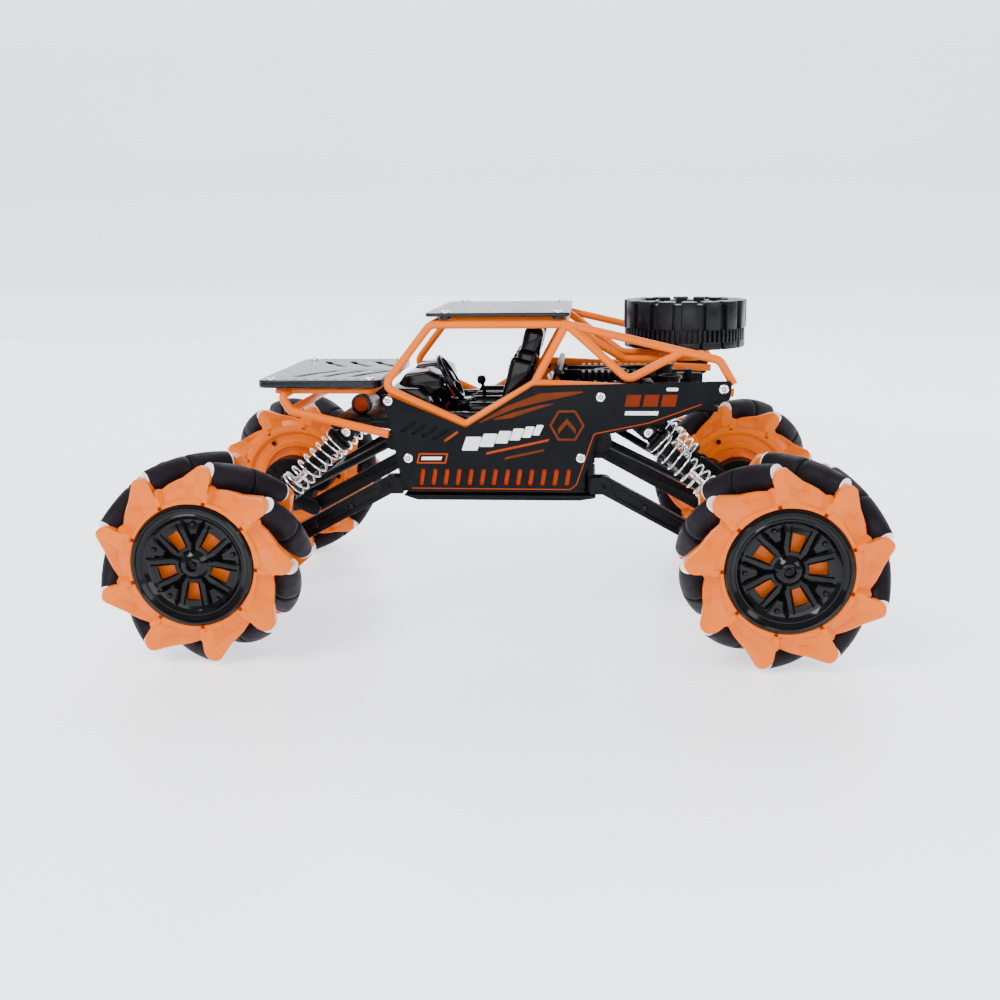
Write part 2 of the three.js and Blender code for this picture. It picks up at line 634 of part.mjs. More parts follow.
// One moulded side of the cage: rails, pillars and braces round four windows, and the web behind the
// side panel, which shows through the panel's slots. It leans inwards from the belt line to the roof.
function sideFrame(side) {
  const centreLine = [
    BELT_FRONT,
    ROOF_FRONT,
    ROOF_REAR,
    TAIL_TOP,
    TAIL_LOW,
    BRACE_LOW,
    BELT_REAR,
    [39.2, 84.5],
    [33.2, 66],
    [-37.2, 66.3],
    [-41.2, 86],
  ];
  const windows = [
    [BELT_FRONT, ROOF_FRONT, ROOF_REAR, BELT_REAR, BELT_DIP],
    [ROOF_REAR, BRACE_LOW, BELT_REAR],
    [ROOF_REAR, BRACE_HIGH, BRACE_LOW],
    [BRACE_HIGH, TAIL_TOP, TAIL_LOW, BRACE_LOW],
  ];
  const inner = side * (CAGE_LOW_Y - TUBE_R);
  const outer = side * (CAGE_LOW_Y + TUBE_R);
  const openings = windows.map((window) => inset(window, TUBE_R).reverse());
  const frame = plateXZ(inset(centreLine, -TUBE_R), inner, outer, openings);
  const points = frame.getAttribute("position");
  for (let i = 0; i < points.count; i += 1) {
    const rise = THREE.MathUtils.clamp((points.getZ(i) - BELT_REAR[1]) / (ROOF_Z - BELT_REAR[1]), 0, 1);
    points.setY(i, points.getY(i) - side * rise * (CAGE_LOW_Y - CAGE_HIGH_Y));
  }
  return frame;
}

const PANEL_OUTLINE = [
  [-49.1, 105.7],
  [-12.7, 90.2],
  [16.5, 108.4],
  [52.9, 109.2],
  [100.5, 110.4],
  [99.8, 102.5],
  [73, 93],
  [44, 86.5],
  [36.6, 62.2],
  [-40.7, 62.5],
  [-44.5, 86],
];
const SLOTS = 13;
const SLOT_LOW_Z = 64.8;
const SLOT_HIGH_Z = 72.2;
const VENTS = 5;

function sidePanel(side) {
  const inner = side * PANEL_Y;
  const outer = side * (PANEL_Y + PANEL_THICK);
  const through = [inner - side, outer + side];
  const slots = Array.from({ length: SLOTS }, (_, i) => {
    const x = -33.5 + (63.4 / (SLOTS - 1)) * i;
    const slot = [[x, SLOT_LOW_Z], [x + 1.9, SLOT_LOW_Z], [x + 3.1, SLOT_HIGH_Z], [x + 1.2, SLOT_HIGH_Z]];
    return plateXZ(slot, ...through);
  });
  const vents = Array.from({ length: VENTS }, (_, i) => {
    const x = -41 + 4.6 * i;
    const z = 91.4 - 1.1 * i;
    const vent = [[x, z - 2.4], [x + 1, z - 3.2], [x + 7.2, z + 1.2], [x + 6.2, z + 2]];
    return plateXZ(vent, ...through);
  });
  return cut(plateXZ(PANEL_OUTLINE, inner, outer), ...slots, ...vents);
}

const HOOD_FRONT_X = -105;
const HOOD_REAR_X = -50.5;
const HOOD_LOW_Z = 106.8;
const HOOD_HIGH_Z = 110.2;
const TOP_HALF_Y = 48; // half the width of the hood and the roof plate

function hood() {
  const lip = 2;
  const skin = 1.6;
  const halfY = TOP_HALF_Y - lip;
  const plate = plateXY(
    roundedRect(HOOD_FRONT_X, -TOP_HALF_Y, HOOD_REAR_X, TOP_HALF_Y, 6),
    HOOD_LOW_Z,
    HOOD_HIGH_Z,
  );
  const hollow = plateXY(
    roundedRect(HOOD_FRONT_X + lip, -halfY, HOOD_REAR_X - lip, halfY, 4.5),
    HOOD_LOW_Z - 1,
    HOOD_HIGH_Z - skin,
  );
  const chevrons = [-1, 1].flatMap((side) =>
    [0, 1, 2].map((i) => {
      const x = HOOD_FRONT_X + 13 + 12.5 * i;
      const bend = x + 4.5;
      const slot = [
        [x, side * 33],
        [x + 3.2, side * 33],
        [bend + 3.2, side * 22],
        [bend + 12.2, side * 9],
        [bend + 9, side * 9],
        [bend, side * 22],
      ];
      return plateXY(side > 0 ? slot : slot.reverse(), HOOD_LOW_Z - 2, HOOD_HIGH_Z + 2);
    }),
  );
  return cut(plate, hollow, ...chevrons);
}

// The orange nose frame: a liner under the hood, side tubes down to the chassis and cross tubes.
function noseFrame() {
  const liner = plateXY(roundedRect(-99, -42, -54, 42, 4), 103.6, 105.6);
  const y = 48;
  const tube = 1.9;
  const sides = [-1, 1].map((side) => {
    const corners = [
      [-92, side * 40, 104.6],
      [-94, side * y, 103.6],
      [-90, side * y, 96.8],
      [-46.5, side * 50.8, 87.2],
    ];
    return tubeRun(corners, tube);
  });
  const bumper = rod([-90, -y, 96.8], [-90, y, 96.8], tube, TUBE_SIDES);
  return join(liner, ...sides, bumper);
}

function roofPlate() {
  const plate = plateXY(roundedRect(-30, -TOP_HALF_Y, 32, TOP_HALF_Y, 3, 2), 137.4, 139);
  const bosses = [-21.6, 26.9].flatMap((x) =>
    [-1, 1].map((side) => rod([x, side * 45.3, ROOF_Z + TUBE_R + GAP], [x, side * 45.3, 138], 2.6, 10)),
  );
  return join(plate, ...bosses);
}

// Orange bars under the roof plate, running back to the spare wheel's seat.
function roofFrame() {
  const clear = CAGE_HIGH_Y - TUBE_R - GAP;
  const cross = (x, z, half) => rod([x, -half, z], [x, half, z], TUBE_R, TUBE_SIDES);
  const seatZ = SPARE_LOW_Z - GAP - 2.2;
  const bars = [
    cross(ROOF_FRONT[0] + 1, ROOF_Z, clear),
    cross(ROOF_REAR[0] - 1, ROOF_Z, clear),
    cross(78, seatZ - 1.6, 16),
  ];
  for (const side of [-1, 1]) {
    const y = side * 20;
    bars.push(rod([ROOF_FRONT[0] + 1, y, ROOF_Z], [ROOF_REAR[0] - 1, y, ROOF_Z], TUBE_R, TUBE_SIDES));
    const corners = [
      [ROOF_REAR[0] - 1, side * 38, ROOF_Z],
      [56, side * 18, seatZ - 1.2],
      [79, side * 14, seatZ - 1.6],
    ];
    bars.push(tubeRun(corners));
  }
  bars.push(rod([SPARE_X, 0, seatZ - 3], [SPARE_X, 0, seatZ + 2.2], 9, 12));
  bars.push(block([74, -6, seatZ - 3], [SPARE_X, 6, seatZ - 0.5]));
  return join(...bars);
}

function spareTyre() {
  const mid = (SPARE_LOW_Z + SPARE_HIGH_Z) / 2;
  const half = (SPARE_HIGH_Z - SPARE_LOW_Z) / 2;
  const carcass = turnedZ(
    [
      [18, mid - half + 1.5],
      [20, mid - half],
      [SPARE_R - 3, mid - half],
      [SPARE_R - 1.8, mid - half + 2],
      [SPARE_R - 1.8, mid + half - 2],
      [SPARE_R - 3, mid + half],
      [20, mid + half],
      [18, mid + half - 1.5],
      [18, mid - half + 1.5],
    ],
    SPARE_X,
    0,
    18,
  );
  const blocks = 14;
  const tread = Array.from({ length: blocks }, (_, i) => {
    const lug = block([SPARE_R - 3, -3.6, mid - half + 1], [SPARE_R, 3.6, mid + half - 1]);
    return lug.rotateZ((2 * Math.PI * i) / blocks).translate(SPARE_X, 0, 0);
  });
  return join(carcass, ...tread);
}

function spareWheel() {
  const mid = (SPARE_LOW_Z + SPARE_HIGH_Z) / 2;
  return turnedZ(
    [
      [0, SPARE_LOW_Z + 0.2],
      [9, SPARE_LOW_Z + 0.2],
      [9, mid],
      [15, mid],
      [15, SPARE_LOW_Z + 3],
      [17.6, SPARE_LOW_Z + 3],
      [17.6, SPARE_HIGH_Z - 2],
      [15.6, SPARE_HIGH_Z - 2],
      [15, mid + 4],
      [6, mid + 5.5],
      [5, SPARE_HIGH_Z - 4],
      [0, SPARE_HIGH_Z - 4],
    ],
    SPARE_X,
    0,
    16,
  );
}

const SEAT_Y = 20;

// The moulded interior: floor, dashboard, centre tunnel and two bucket seats in one piece.
function cockpit() {
  const floor = block([-40, -46, 85], [24, 46, 87]);
  const dashSection = [[-40, 86], [-28, 86], [-27, 98], [-33, 106], [-47, 106.5], [-47, 93.5], [-40, 93.5]];
  const dash = plateXZ(dashSection, -45, 45);
  const tunnel = plateXZ([[-30, 86], [20, 86], [20, 94], [-24, 96]], -5, 5);
  const bulkhead = block([21, -45, 86], [24, 45, 108]);
  const seats = [-1, 1].flatMap((side) => {
    const y0 = side * SEAT_Y - 12.5;
    const y1 = side * SEAT_Y + 12.5;
    return [
      plateXZ([[-14, 86], [9, 86], [9, 93], [-13, 95.5]], y0, y1),
      plateXZ([[2, 90], [10, 88], [19.5, 127], [17, 130], [13.5, 129.5]], y0 + 1.5, y1 - 1.5),
    ];
  });
  return join(floor, dash, tunnel, bulkhead, ...seats);
}

function steeringWheel() {
  const centre = vec(-22.5, -SEAT_Y, 108.5);
  const lean = new THREE.Quaternion().setFromAxisAngle(vec(0, 1, 0), rad(60));
  const ring = new THREE.TorusGeometry(10.4, 1.2, 5, 14);
  const hub = new THREE.CylinderGeometry(3, 3, 2.4, 8).rotateX(Math.PI / 2);
  const spokes = [0, 120, 240].map((angle) =>
    new THREE.BoxGeometry(10, 2.2, 1.6).translate(5, 0, 0).rotateZ(rad(angle)),
  );
  const placed = join(ring, hub, ...spokes).applyQuaternion(lean);
  const column = rod([3, 0, 0], [-7, 0, 0], 1.5, 8).applyQuaternion(
    new THREE.Quaternion().setFromUnitVectors(vec(1, 0, 0), vec(0.866, 0, 0.5)),
  );
  return join(placed, column).translate(...centre.toArray());
}

// The dummy engine on its deck behind the seats.
function engineDeck() {
  const deck = block([24.5, -44, DECK_Z], [96, 44, DECK_Z + 2.4]);
  const blockBody = plateXZ([[32, 97], [72, 97], [70, 106], [36, 108]], -14, 14);
  const heads = [-1, 1].map((side) => block([36, side * 15 - 5, 100], [66, side * 15 + 5, 111]));
  const pipes = [-1, 1].flatMap((side) =>
    [42, 51, 60].map((x) => rod([x, side * 19, 107.5], [x + 6, side * 33, 98], TUBE_R, TUBE_SIDES)),
  );
  return join(deck, blockBody, ...heads, ...pipes);
}

// ---------- assembly ----------
const CORNERS = [
  ["front_left", -1, -1, 6, -33],
  ["front_right", -1, 1, 6, -33],
  ["rear_left", 1, -1, -3, 14],
  ["rear_right", 1, 1, -3, 14],
];
for (const [label, end, side, firstLug, windowPhase] of CORNERS) {
  wheel(label, end, side, firstLug, windowPhase);
  add(`wheel_motor_${label}`, wheelMotor(end, side), blackPlastic());
  add(`lower_arm_${label}`, lowerArm(end, side), blackPlastic());
  add(`shock_body_${label}`, shockBody(end, side), blackPlastic());
  add(`shock_rod_${label}`, shockRod(end, side), chromeSteel());
  add(`spring_${label}`, coilSpring(end, side), chromeSteel());
}
for (const [label, end] of [["front", -1], ["rear", 1]]) {
  add(`axle_housing_${label}`, axleHousing(end), blackPlastic());
  add(`upper_wishbone_${label}`, upperWishbone(end), blackPlastic());
  add(`subframe_${label}`, subframe(end), blackPlastic());
}
for (const [label, side] of [["left", -1], ["right", 1]]) {
  add(`side_frame_${label}`, sideFrame(side), orangePlastic());
  add(`side_panel_${label}`, sidePanel(side), panelPaint());
}
add("chassis_tub", chassisTub(), blackPlastic());
add("skid_plate", skidPlate(), blackPlastic());
add("switch_knob", switchKnob(), blackGloss());
add("battery_pack", batteryPack(), batteryWrap());
add("control_board", controlBoard(), boardGreen());
add("hood", hood(), panelPaint());
add("nose_frame", noseFrame(), orangePlastic());
add("roof_plate", roofPlate(), panelPaint());
add("roof_frame", roofFrame(), orangePlastic());
add("spare_tyre", spareTyre(), tyreRubber());
add("spare_wheel", spareWheel(), blackGloss());
add("cockpit", cockpit(), blackGloss());
add("steering_wheel", steeringWheel(), blackGloss());
add("engine_deck", engineDeck(), blackPlastic());

export default car;
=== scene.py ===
"""The looks of the roller-wheel stunt car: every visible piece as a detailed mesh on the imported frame.

Shapes are drawn in millimetres in the row frame: the front faces -X, the left side -Y, and Z is up.
"""
import math
import random

import bmesh
import bpy
from mathutils import Matrix, Vector


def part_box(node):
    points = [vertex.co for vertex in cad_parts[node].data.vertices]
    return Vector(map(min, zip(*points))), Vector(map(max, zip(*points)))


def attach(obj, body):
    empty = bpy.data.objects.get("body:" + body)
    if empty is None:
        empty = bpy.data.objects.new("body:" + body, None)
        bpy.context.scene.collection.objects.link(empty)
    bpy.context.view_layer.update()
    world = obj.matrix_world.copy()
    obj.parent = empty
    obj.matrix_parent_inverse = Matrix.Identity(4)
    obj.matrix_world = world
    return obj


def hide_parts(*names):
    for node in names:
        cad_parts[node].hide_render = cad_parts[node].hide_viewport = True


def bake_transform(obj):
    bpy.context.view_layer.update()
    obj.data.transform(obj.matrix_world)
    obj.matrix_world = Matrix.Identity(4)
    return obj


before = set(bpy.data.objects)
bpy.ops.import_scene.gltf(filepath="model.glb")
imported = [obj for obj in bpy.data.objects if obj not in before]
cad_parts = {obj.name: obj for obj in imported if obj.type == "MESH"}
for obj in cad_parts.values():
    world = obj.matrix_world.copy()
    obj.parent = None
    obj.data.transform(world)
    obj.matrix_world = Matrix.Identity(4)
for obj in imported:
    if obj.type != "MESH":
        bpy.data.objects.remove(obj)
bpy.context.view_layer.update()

MM = 0.001
random.seed(16)


def size(node):
    """A CAD node's lowest and highest corner in millimetres."""
    low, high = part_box(node)
    return Vector(low) / MM, Vector(high) / MM


# ---------- dimensions, from the frame where it holds them ----------
hub_low, hub_high = size("hubcap_rear_left")
AXLE_X = (hub_low.x + hub_high.x) / 2
AXLE_Z = (hub_low.z + hub_high.z) / 2
ROLLING_R = AXLE_Z
HUBCAP_R = (hub_high.x - hub_low.x) / 2
WHEEL_OUT_Y = -size("rim_outer_rear_left")[0].y
WHEEL_IN_Y = 70.0
WHEEL_MID_Y = (WHEEL_OUT_Y + WHEEL_IN_Y) / 2
LUGS = 9
LUG_STEP = 360 / LUGS
LUG_R = 41.0
VALLEY_R = 33.0
ROLLER_PITCH_R = 36.0
ROLLER_REACH = 25.7  # degrees from a lug to the middle of its roller
PANEL_LOW, PANEL_HIGH = size("side_panel_right")
PANEL_IN_Y = PANEL_LOW.y
PANEL_OUT_Y = PANEL_HIGH.y
TUBE_R = 1.8
ROOF_Z = 134.0
CAGE_LOW_Y = 49.8
CAGE_HIGH_Y = 46.0
# Each wheel's name, end and side, and the angles of its first lug and its first hubcap window, in degrees.
CORNERS = (
    ("front_left", -1, -1, 6, -33),
    ("front_right", -1, 1, 6, -33),
    ("rear_left", 1, -1, -3, 14),
    ("rear_right", 1, 1, -3, 14),
)
ENDS = (("front", -1), ("rear", 1))
SIDES = (("left", -1), ("right", 1))


# ---------- materials ----------
class Surface:
    """A node material: a Principled shader whose colour, roughness and bump vary over the surface."""

    def __init__(self, name, colour, roughness, metallic=0.0, coat=0.0, coat_roughness=0.05, gloss=0.5):
        self.material = bpy.data.materials.new(name)
        self.material.use_nodes = True
        self.tree = self.material.node_tree
        self.shader = self.tree.nodes["Principled BSDF"]
        self.colour = colour
        self.roughness = roughness
        self.shade(Base_Color=(*colour, 1), Roughness=roughness, Metallic=metallic, Specular_IOR_Level=gloss)
        self.shade(Coat_Weight=coat, Coat_Roughness=coat_roughness)
        self.link = self.tree.links.new
        self.place = self.tree.nodes.new("ShaderNodeTexCoord").outputs["Object"]
        self.height = None

    def shade(self, **values):
        """Sets inputs of the shader. An underscore stands for a space in an input's name."""
        for key, value in values.items():
            self.shader.inputs[key.replace("_", " ")].default_value = value
        return self

    def node(self, kind, **values):
        """A new node with its inputs and settings. An underscore stands for a space in an input's name."""
        made = self.tree.nodes.new(kind)
        for key, value in values.items():
            name = key.replace("_", " ")
            if name in made.inputs:
                made.inputs[name].default_value = value
            else:
                setattr(made, key, value)
        return made

    def glow(self, colour, strength):
        """Emission: painted light where the orange plastic uses it, and the even brightness of the studio
        floor.
        """
        return self.shade(Emission_Color=(*colour, 1), Emission_Strength=strength)

    def noise(self, scale, detail=3.0, stretch=None):
        texture = self.node("ShaderNodeTexNoise", Scale=scale, Detail=detail, Roughness=0.55)
        place = self.place
        if stretch:
            mapping = self.node("ShaderNodeMapping", Scale=stretch)
            self.link(place, mapping.inputs["Vector"])
            place = mapping.outputs["Vector"]
        self.link(place, texture.inputs["Vector"])
        return texture.outputs["Fac"]

    def vary_colour(self, other, scale):
        """Clouds of another colour through the base colour."""
        ramp = self.node("ShaderNodeMapRange", From_Min=0.35, From_Max=0.7)
        self.link(self.noise(scale, 4.0), ramp.inputs["Value"])
        mix = self.node("ShaderNodeMix", data_type="RGBA")
        mix.inputs["A"].default_value = (*self.colour, 1)
        mix.inputs["B"].default_value = (*other, 1)
        self.link(ramp.outputs["Result"], mix.inputs["Factor"])
        self.link(mix.outputs["Result"], self.shader.inputs["Base Color"])
        self.mixed = mix.outputs["Result"]
        return self

    def fleck(self, colour, scale, reach):
        """Fine specks scattered over the clouds that vary_colour made."""
        cells = self.node("ShaderNodeTexVoronoi", Scale=scale)
        self.link(self.place, cells.inputs["Vector"])
        close = self.node("ShaderNodeMapRange", From_Min=reach, From_Max=reach * 0.6)
        self.link(cells.outputs["Distance"], close.inputs["Value"])
        mix = self.node("ShaderNodeMix", data_type="RGBA")
        mix.inputs["B"].default_value = (*colour, 1)
        self.link(close.outputs["Result"], mix.inputs["Factor"])
        self.link(self.mixed, mix.inputs["A"])
        self.link(mix.outputs["Result"], self.shader.inputs["Base Color"])
        return self

    def vary_roughness(self, spread, scale):
        low, high = max(self.roughness - spread, 0.02), min(self.roughness + spread, 1.0)
        ramp = self.node("ShaderNodeMapRange", From_Min=0.3, From_Max=0.7, To_Min=low, To_Max=high)
        self.link(self.noise(scale), ramp.inputs["Value"])
        self.link(ramp.outputs["Result"], self.shader.inputs["Roughness"])
        return self

    def bump(self, scale, strength, distance, stretch=None):
        bump = self.node("ShaderNodeBump", Strength=strength, Distance=distance)
        self.link(self.noise(scale, stretch=stretch), bump.inputs["Height"])
        if self.height:
            self.link(self.height, bump.inputs["Normal"])
        self.height = bump.outputs["Normal"]
        self.link(self.height, self.shader.inputs["Normal"])
        return self


def orange_plastic():
    look = Surface("orange_plastic", (0.62, 0.112, 0.0), 0.32, coat=0.03, coat_roughness=0.08, gloss=0.16)
    look.shade(Subsurface_Weight=0.05, Subsurface_Radius=(0.003, 0.0008, 0.0002), Subsurface_Scale=1.0)
    # Painted light: a faint orange glow that lifts the plastic where it lies in shade.
    look.glow((1.0, 0.13, 0.0), 0.16)
    look.vary_colour((0.66, 0.132, 0.0), 45).vary_roughness(0.06, 120)
    return look.bump(90, 0.08, 0.0006).bump(1500, 0.04, 0.0002).material


def black_gloss():
    look = Surface("black_gloss", (0.0016, 0.0015, 0.0018), 0.1, coat=0.05, gloss=0.16)
    look.vary_colour((0.0032, 0.003, 0.0036), 60).vary_roughness(0.05, 150)
    return look.bump(160, 0.05, 0.0004).material


def black_plastic():
    look = Surface("black_plastic", (0.002, 0.002, 0.0025), 0.34, gloss=0.09)
    look.vary_colour((0.0045, 0.0045, 0.0055), 70).vary_roughness(0.1, 220)
    return look.bump(2600, 0.22, 0.00008).material


def roller_rubber():
    look = Surface("roller_rubber", (0.0068, 0.0052, 0.0072), 0.55, gloss=0.07)
    look.shade(Sheen_Weight=0.02).vary_colour((0.011, 0.009, 0.012), 110).vary_roughness(0.1, 260)
    return look.bump(3200, 0.3, 0.00008).bump(240, 0.08, 0.0003).material


def tyre_rubber():
    look = Surface("tyre_rubber", (0.0034, 0.0034, 0.0048), 0.3, gloss=0.16)
    look.vary_colour((0.009, 0.009, 0.011), 90).vary_roughness(0.12, 240)
    return look.bump(2400, 0.3, 0.0001).material


def panel_paint():
    look = Surface("panel_paint", (0.0018, 0.0021, 0.0028), 0.3, gloss=0.07)
    look.vary_colour((0.0034, 0.004, 0.0052), 40).fleck((0.022, 0.026, 0.032), 1500, 0.12)
    return look.vary_roughness(0.08, 300).bump(2200, 0.22, 0.00007).material


def lit_top_paint():
    """The paint of the hood and roof: the side panels' paint, glossier, and lighter in colour and flecks as
    painted light from above.
    """
    look = Surface("lit_top_paint", (0.0025, 0.003, 0.004), 0.24, coat=0.04, coat_roughness=0.1, gloss=0.2)
    # Painted light: clouds and flecks lighter than the side panels', for the light that falls on the upward
    # faces.
    look.vary_colour((0.0065, 0.0075, 0.0095), 40).fleck((0.05, 0.06, 0.07), 1500, 0.2)
    return look.vary_roughness(0.06, 300).bump(1800, 0.12, 0.00006).material


def chrome_steel():
    look = Surface("chrome_steel", (0.92, 0.92, 0.93), 0.16, metallic=1.0)
    look.vary_colour((0.74, 0.75, 0.77), 130).vary_roughness(0.06, 400)
    return look.bump(700, 0.03, 0.00005).material


def white_plastic():
    look = Surface("white_plastic", (0.9, 0.88, 0.87), 0.32, coat=0.2)
    look.vary_colour((0.8, 0.78, 0.77), 200).vary_roughness(0.06, 300)
    return look.bump(1800, 0.1, 0.00006).material


def print_ink(name, colour, other):
    look = Surface(name, colour, 0.38, gloss=0.07)
    look.vary_colour(other, 160).vary_roughness(0.06, 500)
    return look.bump(2200, 0.12, 0.00005).material


def battery_wrap():
    look = Surface("battery_wrap", (0.02, 0.09, 0.26), 0.3, coat=0.4)
    look.vary_colour((0.03, 0.12, 0.32), 50).vary_roughness(0.08, 90)
    return look.bump(140, 0.25, 0.0004, stretch=(1, 6, 6)).material


def board_green():
    look = Surface("board_green", (0.01, 0.1, 0.03), 0.35, coat=0.3)
    look.vary_colour((0.02, 0.16, 0.05), 180).fleck((0.7, 0.6, 0.3), 420, 0.18).vary_roughness(0.1, 260)
    return look.bump(600, 0.3, 0.0002).material


ORANGE = orange_plastic()
GLOSS = black_gloss()
BLACK = black_plastic()
RUBBER = roller_rubber()
TYRE = tyre_rubber()
PANEL = panel_paint()
TOP = lit_top_paint()
CHROME = chrome_steel()
WHITE = white_plastic()
INK_ORANGE = print_ink("ink_orange", (0.36, 0.034, 0.001), (0.3, 0.028, 0.001))
INK_RUST = print_ink("ink_rust", (0.12, 0.021, 0.003), (0.085, 0.015, 0.002))
INK_WHITE = print_ink("ink_white", (0.85, 0.85, 0.85), (0.7, 0.71, 0.72))
INK_RED = print_ink("ink_red", (0.16, 0.016, 0.001), (0.12, 0.012, 0.001))
# Painted shade: a darker, redder copy of the orange, standing for the orange frame in shade behind the side
# panels' slots.
SLOT_SHADE_ORANGE = print_ink("slot_shade_orange", (0.42, 0.032, 0.001), (0.36, 0.026, 0.001))


# ---------- mesh building ----------
def rounded(points, radius, steps=4, closed=True):
    """A polyline with each corner replaced by an arc. Works in two or three dimensions."""
    points = [Vector(p) for p in points]
    count = len(points)
    result = []
    for i, corner in enumerate(points):
        if not closed and i in (0, count - 1):
            result.append(corner)
            continue
        before = points[i - 1] - corner
        after = points[(i + 1) % count] - corner
        half = before.angle(after) / 2
        if half > math.radians(88):
            result.append(corner)
            continue
        reach = min(radius / math.tan(half), 0.45 * before.length, 0.45 * after.length)
        start = corner + before.normalized() * reach
        end = corner + after.normalized() * reach
        for k in range(steps + 1):
            t = k / steps
            result.append(start * (1 - t) ** 2 + corner * 2 * t * (1 - t) + end * t * t)
    return result


def plate_mesh(outline, holes, thickness, bevel):
    """A flat plate in X and Y, centred on Z = 0, with holes and rounded edges."""
    data = bpy.data.curves.new("plate", "CURVE")
    data.dimensions = "2D"
    data.fill_mode = "BOTH"
    data.extrude = thickness / 2 - bevel
    data.bevel_depth = bevel
    data.bevel_resolution = 2
    data.offset = -bevel
    for i, loop in enumerate([outline] + list(holes)):
        points = [Vector((p[0], p[1])) for p in loop]
        area = sum(a.x * b.y - b.x * a.y for a, b in zip(points, points[1:] + points[:1]))
        if (area > 0) == (i > 0):
            points.reverse()
        spline = data.splines.new("POLY")
        spline.points.add(len(points) - 1)
        for target, point in zip(spline.points, points):
            target.co = (point.x, point.y, 0, 1)
        spline.use_cyclic_u = True
    holder = bpy.data.objects.new("plate", data)
    bpy.context.scene.collection.objects.link(holder)
    mesh = bpy.data.meshes.new_from_object(holder.evaluated_get(bpy.context.evaluated_depsgraph_get()))
    bpy.data.objects.remove(holder)
    return mesh


